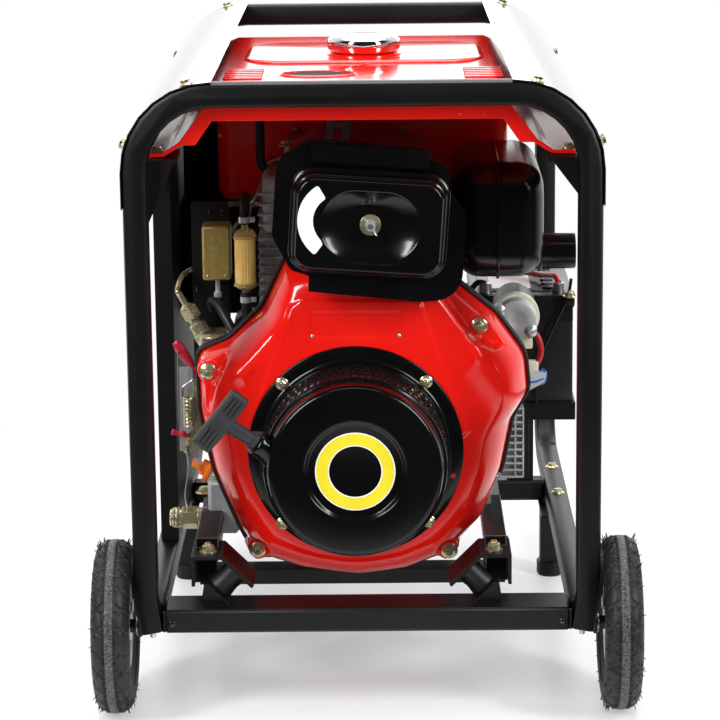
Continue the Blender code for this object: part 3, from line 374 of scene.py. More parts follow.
def black_abs():
    """Moulded black ABS with a fine leather-like grain."""
    return finish("black_moulded_abs", ("101112", "191a1b"), 0.45, patch=0.02, lump=0.0009, height=0.00008)


def battery_abs():
    """Polypropylene battery case: smoky black, waxy."""
    return finish("battery_polypropylene", ("0d0e10", "17181a"), 0.36, patch=0.03, lump=0.0012,
                  height=0.00006)


def orange_abs():
    """The oil cap: bright moulded orange with a soft plastic sheen."""
    return finish("orange_moulded_abs", ("e8690c", "f27a18"), 0.36, patch=0.008, lump=0.0008, height=0.00005,
                  sockets={"Subsurface Weight": 0.1, "Subsurface Radius": (0.004, 0.002, 0.001)})


def red_dip():
    """Red dipped PVC on the lever grips: glossy and slightly soft."""
    return finish("red_dipped_pvc", ("a3122a", "b81b33"), 0.28, patch=0.008, lump=0.0015, height=0.00005)


def bright_casting():
    """Pressure die casting, vapour blasted: pale, clean silver grey."""
    return finish("bright_die_casting", ("b4b6b8", "cfd1d2"), 0.42, 0.45, patch=0.012, lump=0.0012,
                  height=0.00003)


def ivory_nylon():
    """Plug housings and the starter collar: creamy moulded nylon, a little waxy."""
    return finish("ivory_nylon", ("cfc9ad", "ded9c1"), 0.42, patch=0.01, lump=0.001, height=0.00004,
                  sockets={"Subsurface Weight": 0.2, "Subsurface Radius": (0.004, 0.003, 0.002)})


def amber_nylon():
    """The filter bowl: clear amber nylon, warm and glassy."""
    return finish("amber_clear_nylon", ("f6dc98", "fbe8b8"), 0.08, patch=0.01, lump=0.003, height=0.00001,
                  spread=0.03, sockets={"Transmission Weight": 0.85, "IOR": 1.15})


def filter_paper():
    """Pleated filter paper inside the bowl."""
    return finish("pleated_filter_paper", ("efd99a", "fcefc6"), 0.7, patch=0.004, lump=0.0008, height=0.00004)


def white_vinyl():
    """Blank label areas: clean white printed film."""
    return finish("white_vinyl", ("e4e5e6", "efefef"), 0.38, patch=0.02, lump=0.002, height=0.00002)


def yellow_vinyl():
    """The plain yellow ring on the starter: smooth printed vinyl."""
    return finish("yellow_vinyl", ("dccb1e", "e6d52c"), 0.34, patch=0.02, lump=0.002, height=0.00002)


def red_cable():
    """Starter and battery leads: smooth dark-red insulation."""
    return finish("red_cable_pvc", ("a80f1e", "bf1a2a"), 0.36, patch=0.006, lump=0.001, height=0.00004)


def blue_wire():
    """Thin plug wires: smooth blue insulation."""
    return finish("blue_wire_pvc", ("1c4fae", "2b62c6"), 0.38, patch=0.006, lump=0.001, height=0.00004)


def clear_plug():
    """The plug cover: milky nylon that lets some light through."""
    return finish("milky_plug_nylon", ("b9c3c6", "d5dcdd"), 0.32, patch=0.006, lump=0.001, height=0.00004,
                  sockets={"Transmission Weight": 0.25})


# ---- shapes: each returns a bmesh in (x, depth, z) --------------------------------------------------
def whole_turn(count):
    """Angles that share a whole turn equally."""
    return [2 * math.pi * i / count for i in range(count)]


def loft(loops, end_to_end=False, caps=True):
    """A skin over loops of points with equal counts, capped or joined end to end."""
    body = bmesh.new()
    rings = [[body.verts.new(point) for point in loop] for loop in loops]
    pairs = list(zip(rings, rings[1:]))
    if end_to_end:
        pairs.append((rings[-1], rings[0]))
    elif caps:
        body.faces.new(reversed(rings[0]))
        body.faces.new(rings[-1])
    for low, high in pairs:
        for i in range(len(low)):
            j = (i + 1) % len(low)
            body.faces.new((low[i], low[j], high[j], high[i]))
    bmesh.ops.recalc_face_normals(body, faces=body.faces)
    return body


def block(x, depth, z, bevel=0.0, steps=2):
    """A box between two limits on each axis, with rounded edges."""
    corners = [(x[0], depth[0]), (x[1], depth[0]), (x[1], depth[1]), (x[0], depth[1])]
    body = loft([[(a, b, level) for a, b in corners] for level in z])
    if bevel:
        bmesh.ops.bevel(body, geom=body.edges[:], offset=bevel, segments=steps, profile=0.5, affect="EDGES")
    return body


def prism(outline, axis, reach, bevel=0.0, steps=2):
    """An outline pushed along an axis: (x, z) along y, (depth, z) along x, or (x, depth) along z."""
    place = {
        "x": lambda a, b, level: (level, a, b),
        "y": lambda a, b, level: (a, level, b),
        "z": lambda a, b, level: (a, b, level),
    }[axis]
    body = loft([[place(a, b, level) for a, b in outline] for level in reach])
    if bevel:
        ends = [edge for edge in body.edges if len({len(face.verts) for face in edge.link_faces}) > 1]
        bmesh.ops.bevel(body, geom=ends, offset=bevel, segments=steps, profile=0.5, affect="EDGES")
    return body


def turned(profile, centre, axis, sides=48):
    """(radius, distance along the axis) turned about the axis; a profile off the axis is closed on itself."""
    turn = Z_AXIS.rotation_difference(Vector(axis)).to_matrix().to_4x4()
    body = bmesh.new()
    rings = []
    for radius, along in profile:
        if radius == 0:
            rings.append([body.verts.new((0, 0, along))])
            continue
        angles = whole_turn(sides)
        rings.append([body.verts.new((radius * math.cos(a), radius * math.sin(a), along)) for a in angles])
    pairs = list(zip(rings, rings[1:]))
    if len(rings[0]) > 1:
        pairs.append((rings[-1], rings[0]))
    for low, high in pairs:
        for i in range(sides):
            j = (i + 1) % sides
            corners = [low[i % len(low)], low[j % len(low)], high[j % len(high)], high[i % len(high)]]
            corners = list(dict.fromkeys(corners))
            if len(corners) > 2:
                body.faces.new(corners)
    bmesh.ops.transform(body, matrix=Matrix.Translation(centre) @ turn, verts=body.verts)
    bmesh.ops.recalc_face_normals(body, faces=body.faces)
    return body


def band(inner, outer, low, high, centre, axis, sides):
    """A plain ring, or a disc if inner is 0, between two radii and two levels along its axis."""
    return turned([(inner, low), (outer, low), (outer, high), (inner, high)], centre, axis, sides)


def rod(start, end, radius, sides=20, edge=0.0):
    """A cylinder between two points, its end edges softened by edge."""
    start, end = Vector(start), Vector(end)
    far = (end - start).length
    profile = [(0, 0), (radius - edge, 0), (radius, edge), (radius, far - edge),
               (radius - edge, far), (0, far)]
    if not edge:
        profile = [(0, 0), (radius, 0), (radius, far), (0, far)]
    return turned(profile, start, (end - start).normalized(), sides)


def rounded(corners, steps=6):
    """A closed outline of (u, v, corner radius) as (u, v) pairs."""
    outline = []
    count = len(corners)
    for i, (u, v, radius) in enumerate(corners):
        before, after = Vector(corners[i - 1][:2]), Vector(corners[(i + 1) % count][:2])
        corner = Vector((u, v))
        if radius == 0:
            outline.append((u, v))
            continue
        back, on = (before - corner).normalized(), (after - corner).normalized()
        half = back.angle(on) / 2
        centre = corner + (back + on).normalized() * radius / math.sin(half)
        first = corner + back * radius / math.tan(half) - centre
        last = corner + on * radius / math.tan(half) - centre
        sweep = first.angle_signed(last)
        for k in range(steps + 1):
            a = -sweep * k / steps
            outline.append((centre.x + first.x * math.cos(a) - first.y * math.sin(a),
                            centre.y + first.x * math.sin(a) + first.y * math.cos(a)))
    return outline


def rectangle(width, height, radius, centre=(0, 0), turn=0.0, steps=6):
    """A rounded outline, as points in its own plane."""
    w, h = width / 2, height / 2
    radius = min(radius, w * 0.999, h * 0.999)
    outline = rounded([(-w, -h, radius), (w, -h, radius), (w, h, radius), (-w, h, radius)], steps)
    cos, sin = math.cos(turn), math.sin(turn)
    return [(centre[0] + u * cos - v * sin, centre[1] + u * sin + v * cos) for u, v in outline]


def smooth_path(points, parts=6):
    """A curve through the points, straight at its two ends."""
    points = [Vector(p) for p in points]
    padded = [2 * points[0] - points[1], *points, 2 * points[-1] - points[-2]]
    path = []
    for a, b, c, d in zip(padded, padded[1:], padded[2:], padded[3:]):
        for i in range(parts):
            t = i / parts
            path.append(0.5 * (2 * b + (c - a) * t + (2 * a - 5 * b + 4 * c - d) * t**2
                               + (3 * b - a - 3 * c + d) * t**3))
    return [*path, points[-1]]


def pipe(points, radius, sides=14, parts=6):
    """A round pipe or hose along a smooth curve through the points."""
    path = smooth_path(points, parts)
    runs = [(b - a).normalized() for a, b in zip(path, path[1:])]
    tangents = [runs[0]] + [(a + b).normalized() for a, b in zip(runs, runs[1:])] + [runs[-1]]
    side = tangents[0].orthogonal().normalized()
    loops = []
    for i, (point, tangent) in enumerate(zip(path, tangents)):
        if i:
            side = tangents[i - 1].rotation_difference(tangent) @ side
        up = tangent.cross(side)
        angles = whole_turn(sides)
        loops.append([point + (side * math.cos(a) + up * math.sin(a)) * radius for a in angles])
    return loft(loops)


def joined(*bodies):
    """Several bodies in one mesh."""
    total = bodies[0]
    for body in bodies[1:]:
        copy = bpy.data.meshes.new("part")
        body.to_mesh(copy)
        body.free()
        total.from_mesh(copy)
        bpy.data.meshes.remove(copy)
    return total


# ---- pieces ---------------------------------------------------------------------------------------
def placed(name, data):
    """A new object of that name in the scene."""
    made = bpy.data.objects.new(name, data)
    bpy.context.scene.collection.objects.link(made)
    return made


def mesh_of(name, body):
    """The bmesh as a mesh; the bmesh is used up."""
    mesh = bpy.data.meshes.new(name)
    body.to_mesh(mesh)
    body.free()
    return mesh


def settled(made, rides, stands_for):
    """Puts a finished piece on its body and the node that it stands for."""
    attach(made, rides)
    if stands_for:
        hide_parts(*stands_for)
    return made


def piece(name, body, surface, rides="machine", stands_for=(), bevel=0.0, levels=0,
          sharp=FACE_SHARP):
    """An object from a bmesh in (x, depth, z), finished, smoothed and riding on its body."""
    bmesh.ops.translate(body, vec=(0, FRONT_Y, 0), verts=body.verts)
    mesh = mesh_of(name, body)
    mesh.materials.append(surface)
    mesh.shade_smooth()
    mesh.set_sharp_from_angle(angle=sharp)
    made = placed(name, mesh)
    if bevel:
        edge = made.modifiers.new("Edges", "BEVEL")
        edge.width = bevel
        edge.segments = 2
        edge.limit_method = "ANGLE"
        edge.angle_limit = math.radians(40)
        edge.harden_normals = True
    if levels:
        round_off = made.modifiers.new("Rounding", "SUBSURF")
        round_off.levels = round_off.render_levels = levels
    return settled(made, rides, stands_for)


def refined(node, surface, bevel=0.0006, sharp=FACE_SHARP):
    """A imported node's own shape, its triangles merged, smoothed and given a real edge radius."""
    body = bmesh.new()
    body.from_mesh(frame["nodes"][node].data)
    bmesh.ops.remove_doubles(body, verts=body.verts, dist=0.00002)
    bmesh.ops.dissolve_limit(body, angle_limit=0.002, verts=body.verts, edges=body.edges)
    bmesh.ops.translate(body, vec=(0, -FRONT_Y, 0), verts=body.verts)
    for side in body.faces:
        side.material_index = 0
    rides = frame["nodes"][node]["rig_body"]
    return piece("fine_" + node, body, surface, rides, (node,), bevel, sharp=sharp)


def dressed(node, surface):
    """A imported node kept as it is, with a better material."""
    data = frame["nodes"][node].data
    data.materials.clear()
    data.materials.append(surface)


# ---- what repeats: two node trees ------------------------------------------------------------------
def tree_sockets(tree, sockets):
    """Gives a node tree its inputs and one geometry output."""
    for name, kind in sockets:
        tree.interface.new_socket(name=name, in_out="INPUT", socket_type=kind)
    tree.interface.new_socket(name="Geometry", in_out="OUTPUT", socket_type="NodeSocketGeometry")


def setting_out_tree():
    """Puts a copy of an item on every point, turned and sized by the point's own attributes."""
    name = "set_out_on_points"
    if name in bpy.data.node_groups:
        return bpy.data.node_groups[name]
    tree = bpy.data.node_groups.new(name, "GeometryNodeTree")
    tree_sockets(tree, (("Geometry", "NodeSocketGeometry"), ("Item", "NodeSocketObject"),
                        ("Size", "NodeSocketFloat"), ("Surface", "NodeSocketMaterial")))
    given = add(tree, "NodeGroupInput").outputs
    item = add(tree, "GeometryNodeObjectInfo", Object=given["Item"])
    turn = add(tree, "GeometryNodeInputNamedAttribute", {"data_type": "FLOAT_VECTOR", "Name": "turn"})
    own = add(tree, "GeometryNodeInputNamedAttribute", {"data_type": "FLOAT_VECTOR", "Name": "size"})
    sized = add(tree, "ShaderNodeVectorMath", {"operation": "SCALE"}, Vector=own.outputs[0],
                Scale=given["Size"])
    copies = add(tree, "GeometryNodeInstanceOnPoints", Points=given["Geometry"],
                 Instance=item.outputs["Geometry"],
                 Rotation=turn.outputs[0], Scale=sized.outputs[0])
    real = add(tree, "GeometryNodeRealizeInstances", Geometry=copies.outputs[0])
    painted = add(tree, "GeometryNodeSetMaterial", Geometry=real.outputs[0], Material=given["Surface"])
    add(tree, "NodeGroupOutput", Geometry=painted.outputs[0])
    return tree


def bar_row_tree():
    """A straight row of bars: ribs, fins and slats."""
    name = "row_of_bars"
    if name in bpy.data.node_groups:
        return bpy.data.node_groups[name]
    tree = bpy.data.node_groups.new(name, "GeometryNodeTree")
    tree_sockets(tree, (("Geometry", "NodeSocketGeometry"), ("Count", "NodeSocketInt"),
                        ("First", "NodeSocketVector"),
                        ("Pitch", "NodeSocketVector"), ("Bar", "NodeSocketVector"),
                        ("Turn", "NodeSocketVector"),
                        ("Surface", "NodeSocketMaterial")))
    given = add(tree, "NodeGroupInput").outputs
    line = add(tree, "GeometryNodeMeshLine", Count=given["Count"], Start_Location=given["First"],
               Offset=given["Pitch"])
    bar = add(tree, "GeometryNodeMeshCube", Size=given["Bar"])
    copies = add(tree, "GeometryNodeInstanceOnPoints", Points=line.outputs[0], Instance=bar.outputs["Mesh"],
                 Rotation=given["Turn"])
    real = add(tree, "GeometryNodeRealizeInstances", Geometry=copies.outputs[0])
    painted = add(tree, "GeometryNodeSetMaterial", Geometry=real.outputs[0], Material=given["Surface"])
    add(tree, "NodeGroupOutput", Geometry=painted.outputs[0])
    return tree


def grown(name, start, tree, values):
    """The plain mesh that a node tree makes from a starting mesh and the values of its named inputs."""
    seed = placed(name + "_seed", start)
    grow = seed.modifiers.new("Grow", "NODES")
    grow.node_group = tree
    for socket in tree.interface.items_tree:
        if socket.in_out == "INPUT" and socket.name in values:
            grow[socket.identifier] = values[socket.name]
    seed.update_tag()
    bpy.context.view_layer.update()
    ready = seed.evaluated_get(bpy.context.evaluated_depsgraph_get())
    mesh = bpy.data.meshes.new_from_object(ready)
    bpy.data.objects.remove(seed)
    return mesh


def as_piece(name, mesh, rides, stands_for=(), bevel=0.0, sharp=math.radians(24)):
    """An object round a mesh that a node tree made, in (x, depth, z)."""
    mesh.name = name
    mesh.transform(Matrix.Translation((0, FRONT_Y, 0)))
    mesh.shade_smooth()
    mesh.set_sharp_from_angle(angle=sharp)
    made = placed(name, mesh)
    if bevel:
        edge = made.modifiers.new("Edges", "BEVEL")
        edge.width = bevel
        edge.segments = 2
    return settled(made, rides, stands_for)


def set_out(name, item, places, surface, rides="machine", size=1.0, sharp=FACE_SHARP):
    """A copy of an item (a bmesh whose own up is +Z) at each (point, direction, spin, size) place."""
    helper = placed(name + "_item", mesh_of(name + "_item", item))
    points = bpy.data.meshes.new(name + "_points")
    points.from_pydata([tuple(place[0]) for place in places], [], [])
    turns = points.attributes.new("turn", "FLOAT_VECTOR", "POINT")
    scales = points.attributes.new("size", "FLOAT_VECTOR", "POINT")
    for i, (_, way, spin, own) in enumerate(places):
        facing = Z_AXIS.rotation_difference(Vector(way)) @ Quaternion(Z_AXIS, spin)
        turns.data[i].vector = facing.to_euler()
        scales.data[i].vector = own if hasattr(own, "__len__") else (own, own, own)
    mesh = grown(name, points, setting_out_tree(), {"Item": helper, "Size": size, "Surface": surface})
    bpy.data.objects.remove(helper)
    return as_piece(name, mesh, rides, sharp=sharp)


def bars(name, count, first, pitch, bar, surface, rides="machine", turn=(0, 0, 0), bevel=0.0004):
    """A row of equal bars from the first one's middle, a pitch apart."""
    mesh = grown(name, bpy.data.meshes.new("none"), bar_row_tree(),
                 {"Count": count, "First": first, "Pitch": pitch, "Bar": bar, "Turn": turn,
                  "Surface": surface})
    return as_piece(name, mesh, rides, bevel=bevel)


# ---- fixings, in units of the thread diameter -------------------------------------------------------
def hex_loop(reach, level, spin=0.0):
    """Six corners at one level."""
    return [(reach * math.cos(spin + math.pi / 3 * i), reach * math.sin(spin + math.pi / 3 * i), level)
            for i in range(6)]


def flange_bolt():
    """A hexagon head with a chamfered top on its own flange."""
    head = loft([hex_loop(0.92, 0.2), hex_loop(0.92, 0.7), hex_loop(0.68, 0.88)])
    flange = turned([(0, 0), (1.36, 0), (1.36, 0.1), (1.25, 0.16), (0.9, 0.42), (0, 0.42)],
                    (0, 0, 0), Z_AXIS, 28)
    dimple = turned([(0, 0.8), (0.4, 0.875), (0.36, 0.9), (0, 0.84)], (0, 0, 0), Z_AXIS, 16)
    return joined(head, flange, dimple)


def stud_and_nut():
    """A washer, a nut and the stud's end standing out of it."""
    washer = band(0, 1.3, 0, 0.22, (0, 0, 0), Z_AXIS, 24)
    nut = loft([hex_loop(0.82, 0.2), hex_loop(0.92, 0.28), hex_loop(0.92, 0.95), hex_loop(0.8, 1.05)])
    stud = turned([(0, 1.0), (0.46, 1.0), (0.5, 1.1), (0.5, 1.32), (0.4, 1.42), (0, 1.42)],
                  (0, 0, 0), Z_AXIS, 16)
    return joined(washer, nut, stud)


def dome_head():
    """A low round head with a cross recess hinted by a dimple."""
    return turned([(0, 0), (1.0, 0), (1.0, 0.12), (0.86, 0.36), (0.55, 0.55), (0.24, 0.6),
                   (0.16, 0.46), (0, 0.44)],
                  (0, 0, 0), Z_AXIS, 20)


def zinc_fixings(name, places, kind=flange_bolt, rides="machine"):
    """Yellow-zinc bolts, or studs with nuts, at each (point, direction, spin, size) place."""
    set_out(name, kind(), places, yellow_zinc(), rides)


# ---- sizes and colours a user would change ------------------------------------------------------------
def tint(name, description, code):
    """A colour setting whose default is a hex code."""
    return FloatVectorProperty(name=name, description=description, subtype="COLOR", size=3, min=0, max=1,
                               default=linear(code)[:3])


class WelderTints(PropertyGroup):
    """Colours of the welder's main finishes."""

    frame_dark: tint("Frame, deeper", "Deeper shade of the black frame", "060607")
    frame_light: tint("Frame, paler", "Paler shade of the black frame", "0e0e0f")
    red_deep: tint("Red, deeper", "Deeper shade of the red enamel", "e0120a")
    red_bright: tint("Red, brighter", "Brighter shade of the red enamel", "ef1c10")
    floor: tint("Floor", "Colour of the studio floor", "efeff0")


class WelderSizes(PropertyGroup):
    cowl_wall: FloatProperty(name="Cowl wall", description="Sheet thickness of the fan cowl", default=0.0025,
                             min=0.001, unit="LENGTH")
    panel_rise: FloatProperty(name="Cowl panel rise",
                              description="How far the cowl's middle panel stands forward",
                              default=0.0028, unit="LENGTH")
    ring_outer: FloatProperty(name="Ring radius", description="Outer radius of the starter's coloured ring",
                              default=0.046, unit="LENGTH")
    ring_inner: FloatProperty(name="Ring opening", description="Inner radius of the starter's coloured ring",
                              default=0.03, unit="LENGTH")
    diamonds: IntProperty(name="Tread diamonds", description="Diamonds of the tread lattice round a tyre",
                          default=25, min=8)
    hairs: IntProperty(name="Moulding hairs", description="Rubber moulding hairs left on each tyre",
                       default=170, min=0)
    fin_pitch: FloatProperty(name="Fin pitch", description="Distance between the barrel's cooling fins",
                             default=0.0112, unit="LENGTH")
    camera_lens: FloatProperty(name="Lens", description="Camera focal length in millimetres", default=144.565)
    camera_back: FloatProperty(name="Camera distance",
                               description="From the frame's front face to the camera",
                               default=3.18, unit="LENGTH")
    camera_height: FloatProperty(name="Camera height", description="Camera above the ground",
                                 default=1.17, unit="LENGTH")


def sizes():
    """The size settings in use."""
    return bpy.context.scene.welder_sizes


def tints():
    """The colour settings in use."""
    return bpy.context.scene.welder_tints


# ---- frame ----------------------------------------------------------------------------------------
def build_frame():
    """Tube frame, crossbars, mount brackets, rubber mounts, and their bolts and welds."""
    for node in ("front_hoop", "rear_hoop", "left_rail", "right_rail", "front_crossbar", "rear_crossbar",
                 "left_rear_leg", "right_rear_leg", "engine_base", "left_mount_bracket",
                 "right_mount_bracket"):
        refined(node, powder_black())
    for side in ("left", "right"):
        refined(f"{side}_top_guard", guard_black(), bevel=0.0003)
        refined(f"{side}_front_mount", hose_rubber(), bevel=0.0008)
        refined(f"{side}_rear_mount", hose_rubber(), bevel=0.0008)
    top = span("left_rail")[1].z
    low = span("front_hoop")[0].z
    gold, silver = [], []
    for sign in (-1, 1):
        for depth in (0.485, 0.615):
            gold.append(((sign * 0.249, depth, top), Z_AXIS, 0.4, 0.0065))
        for depth in (0.52, 0.58):
            gold.append(((sign * 0.249, depth, low - 0.0045), -Z_AXIS, 0.2, 0.006))
        silver.append(((sign * 0.2255, 0.0, 0.115), -Y_AXIS, 0, 0.0042))
        gold.append(((sign * 0.2325, 0.058, 0.6578), Z_AXIS, 0.3, 0.0055))
        gold.append(((sign * 0.2285, 0.64, 0.6578), Z_AXIS, 0.3, 0.0055))
        gold.append(((sign * 0.2745, 0.05, 0.121), X_AXIS * sign, 0.1, 0.006))
    zinc_fixings("frame_flange_bolts", gold)
    set_out("crossbar_round_heads", dome_head(), silver, gloss_black())
    ends = []
    for sign in (-1, 1):
        ends.append(rod((sign * 0.249, 0.014, 0.0945), (sign * 0.249, 0.014, 0.106), 0.0033, 16, 0.0006))
        ends.append(rod((sign * 0.2325, 0.058, 0.637), (sign * 0.2325, 0.058, 0.6475), 0.0027, 16, 0.0005))
    piece("stud_ends", joined(*ends), bright_zinc())
    guard_heads = []
    for sign in (-1, 1):
        for depth, width in ((0.014, FRONT_WIDTH), (0.812, REAR_WIDTH)):
            arc_x = width / 2 - HOOP_BEND
            for angle in (15, 72):
                way = Vector((sign * math.sin(math.radians(angle)), 0, math.cos(math.radians(angle))))
                foot = Vector((sign * arc_x, depth, HOOP_TOP - HOOP_BEND)) + way * (HOOP_BEND + GUARD_LIFT)
                guard_heads.append((foot, way, 0.3, 0.0064))
    zinc_fixings("guard_flange_bolts", guard_heads)
    studs = [((x, 0.051, 0.1862), Z_AXIS, 0.2, 0.0078) for x in (-0.185, 0.148)]
    studs.append(((-0.185, 0.036, 0.1862), Z_AXIS, 0.5, 0.0001))
    zinc_fixings("mount_studs", studs, stud_and_nut)
    welds = []
    for x, z in ((-0.2345, 0.117), (0.2345, 0.117)):
        path = [(x, 0.001, z - 0.012), (x + 0.0004, 0.0008, z), (x, 0.001, z + 0.012)]
        welds.append(pipe(path, 0.0016, 8))
    piece("weld_beads", joined(*welds), powder_black())


# ---- wheels ---------------------------------------------------------------------------------------
def tyre_profile(half, rim):
    """Round-shouldered tyre section as (radius, across)."""
    crown = WHEEL_R - 0.0006
    side = [(rim, 0.55), (rim + 0.006, 0.7), (rim + 0.013, 0.87), (rim + 0.021, 0.98), (crown - 0.0205, 1.0),
            (crown - 0.0135, 0.96), (crown - 0.0085, 0.87), (crown - 0.0048, 0.73), (crown - 0.0022, 0.54),
            (crown - 0.0006, 0.3), (crown, 0.1)]
    return [(r, -share * half) for r, share in side] + [(r, share * half) for r, share in reversed(side)]


def tyre_body(centre, half, rim, around=520, across=84):
    """The carcass with its moulded grooves: rings beside the middle rib, and a diamond lattice."""
    course = tyre_profile(half, rim)
    r, v = np.array(course).T
    step = np.concatenate([[0], np.cumsum(np.hypot(np.diff(r), np.diff(v)))])
    fine = np.linspace(0, step[-1], across)
    r, v = np.interp(fine, step, r), np.interp(fine, step, v)
    for _ in range(3):
        r[1:-1] = (r[:-2] + 2 * r[1:-1] + r[2:]) / 4
        v[1:-1] = (v[:-2] + 2 * v[1:-1] + v[2:]) / 4
    angle = np.linspace(0, 2 * math.pi, around, endpoint=False)
    arc, wide = np.meshgrid(angle * WHEEL_R, v, indexing="ij")
    pitch = 2 * math.pi * WHEEL_R / sizes().diamonds
    away = np.full(arc.shape, 1.0)
    for lean in (-1, 1):
        turns = (arc + lean * 0.9 * np.abs(wide)) / pitch
        away = np.minimum(away, np.abs(turns - np.round(turns)) * pitch / 1.35)
    tread = (np.abs(wide) > 0.007) & (r[None, :] > WHEEL_R - 0.02)
    cut_in = np.where(tread, 0.0017 * (1 - eased(0.0007, 0.0019, away)), 0)
    cut_in = np.maximum(cut_in, 0.0019 * (1 - eased(0.0006, 0.0017, np.abs(np.abs(wide) - 0.0062))))
    reach = r[None, :] - cut_in
    grid = [[(centre.x + v[k], centre.y + reach[i, k] * math.cos(a), centre.z + reach[i, k] * math.sin(a))
             for k in range(across)] for i, a in enumerate(angle)]
    return loft(grid, end_to_end=True)


def build_wheels():
    """Wheels, tyres, axles and what holds them."""
    for side, sign in (("left", -1), ("right", 1)):
        body = f"{side}_wheel_set"
        centre = middle(f"{side}_tyre")
        low, high = span(f"{side}_tyre")
        half = (high.x - low.x) / 2 - 0.0018
        rim = (span(f"{side}_wheel")[1].z - span(f"{side}_wheel")[0].z) / 2 + 0.0003
        piece(f"{side}_tyre_carcass", tyre_body(centre, half, rim), tyre_rubber(), body,
              (f"{side}_tyre",),
              sharp=math.radians(70))
        nib = block((-0.0022, 0.0022), (-0.0003, 0.0003), (-0.0004, 0.0006), 0.0001, 1)
        places, nibs = [], 76
        for across in (-0.0077, 0.0077):
            for i in range(nibs):
                a = 2 * math.pi * (i + 0.3 * math.sin(5 * i)) / nibs
                out = Vector((0, math.cos(a), math.sin(a)))
                places.append((centre + Vector((across, (WHEEL_R - 0.0018) * out.y, (WHEEL_R - 0.0018)
                                                * out.z)), out, 0, 1.0))
        set_out(f"{side}_tread_nibs", nib, places, grip_rubber(), body)
        rng = random.Random(7 + sign)
        hair = turned([(0, 0), (0.0006, 0), (0.00045, 0.0055), (0, 0.0085)], (0, 0, 0), Z_AXIS, 6)
        strands = []
        floor_z, front_y, wall_x = 0.0006, low.y + 0.0002, (high.x - low.x) / 2 - 0.0002
        for _ in range(sizes().hairs):
            a, share = rng.uniform(0, 2 * math.pi), rng.choice((-1, 1)) * rng.uniform(0.6, 0.97)
            r = float(np.interp(abs(share), (0.54, 0.73, 0.87, 0.96, 1.0), (0.0992, 0.0966, 0.0929,
                                                                            0.0879, 0.0809)))
            out = Vector((share * rng.uniform(0.0, 0.9), math.cos(a) + rng.uniform(-0.3, 0.3),
                          math.sin(a) + rng.uniform(-0.3, 0.3))).normalized()
            spot = centre + Vector((share * half, (r - 0.0005) * math.cos(a), (r - 0.0005) * math.sin(a)))
            size = rng.uniform(0.35, 1.15)
            for edge, gap in ((floor_z, lambda p: p.z), (front_y, lambda p: p.y),
                              (-wall_x, lambda p: -abs(p.x - centre.x))):
                tip = gap(spot + out * 0.0085 * size)
                if tip < edge:
                    size *= max(0.0, (gap(spot) - edge) / max(1e-6, gap(spot) - tip))
            if size > 0.12:
                strands.append((spot, out, 0, (1, 1, size)))
        set_out(f"{side}_moulding_hairs", hair, strands, tyre_rubber(), body)
        rings = [turned([(WHEEL_R - 0.033, s * half * 0.965), (WHEEL_R - 0.0315, s * (half * 0.965 + 0.0008)),
                         (WHEEL_R - 0.03, s * half * 0.965)], centre, X_AXIS, 96) for s in (-1, 1)]
        piece(f"{side}_sidewall_rings", joined(*rings), tyre_rubber(), body)
        refined(f"{side}_wheel", bright_zinc(), 0.0005)
        nuts = [(centre + Vector((sign * 0.0062, 0.03 * math.cos(a), 0.03 * math.sin(a))),
                 X_AXIS * sign, a, 0.0052)
                for a in (2 * math.pi * i / 4 + 0.4 for i in range(4))]
        zinc_fixings(f"{side}_rim_bolts", nuts, rides=body)
        stem = pipe([centre + Vector((sign * 0.006, 0, 0.047)), centre + Vector((sign * 0.012, 0, 0.046)),
                     centre + Vector((sign * 0.019, 0, 0.044))], 0.0026)
        piece(f"{side}_valve_stem", stem, hose_rubber(), body)
        refined(f"{side}_axle", powder_black(), 0.0005)
        face = centre.x + sign * 0.0178
        hub = turned([(0, 0), (0.0155, 0), (0.0155, 0.0012), (0.0105, 0.002), (0.0102, 0.004),
                      (0.0065, 0.0052), (0, 0.0052)],
                     (face, centre.y, centre.z), X_AXIS * sign, 32)
        piece(f"{side}_axle_washer_and_nut", hub, yellow_zinc(), "machine")
        inner = span(f"{side}_axle")[0 if sign > 0 else 1].x + sign * 0.0046
        washer = band(0.0086, 0.012, 0, 0.0014,
                        (inner, centre.y, centre.z), X_AXIS * sign, 32)
        piece(f"{side}_inner_washer", washer, yellow_zinc(), "machine")


# ---- fan cowl -------------------------------------------------------------------------------------
COWL_OUTLINE = [
    (-0.094, 0.512, 0.015), (-0.121, 0.455, 0.03), (-0.16, 0.418, 0.03), (-0.199, 0.402, 0.014),
    (-0.197, 0.33, 0.03), (-0.182, 0.258, 0.03), (-0.154, 0.19, 0.03), (-0.136, 0.154, 0.016),
    (-0.08, 0.136, 0.06), (-0.01, 0.127, 0.06), (0.048, 0.134, 0.06), (0.096, 0.152, 0.016),
    (0.14, 0.2, 0.04), (0.162, 0.26, 0.04), (0.174, 0.32, 0.04), (0.1935, 0.352, 0.03),
    (0.189, 0.398, 0.045), (0.155, 0.445, 0.03), (0.107, 0.484, 0.02), (0.06, 0.524, 0.03),
    (-0.04, 0.528, 0.03),
]
MIDDLE_PANEL = [(-0.145, 0.318), (-0.1209, 0.3677), (-0.0856, 0.4663), (-0.0749, 0.473), (0.056, 0.473),
                (0.0657, 0.4687), (0.0987, 0.3652), (0.12, 0.315), (0.08, 0.28), (-0.1, 0.28)]
NAME_RECESS = [(-0.0635, 0.429), (0.042, 0.4285), (0.042, 0.4597), (-0.0635, 0.4603)]
LEFT_EAR = [(-0.215, 0.425), (-0.15, 0.424), (-0.16, 0.404), (-0.176, 0.372), (-0.184, 0.34), (-0.215, 0.335)]
RIGHT_EAR = [(0.107, 0.5), (0.09, 0.476), (0.108, 0.448), (0.124, 0.427), (0.15, 0.413), (0.2, 0.412),
             (0.17, 0.47)]
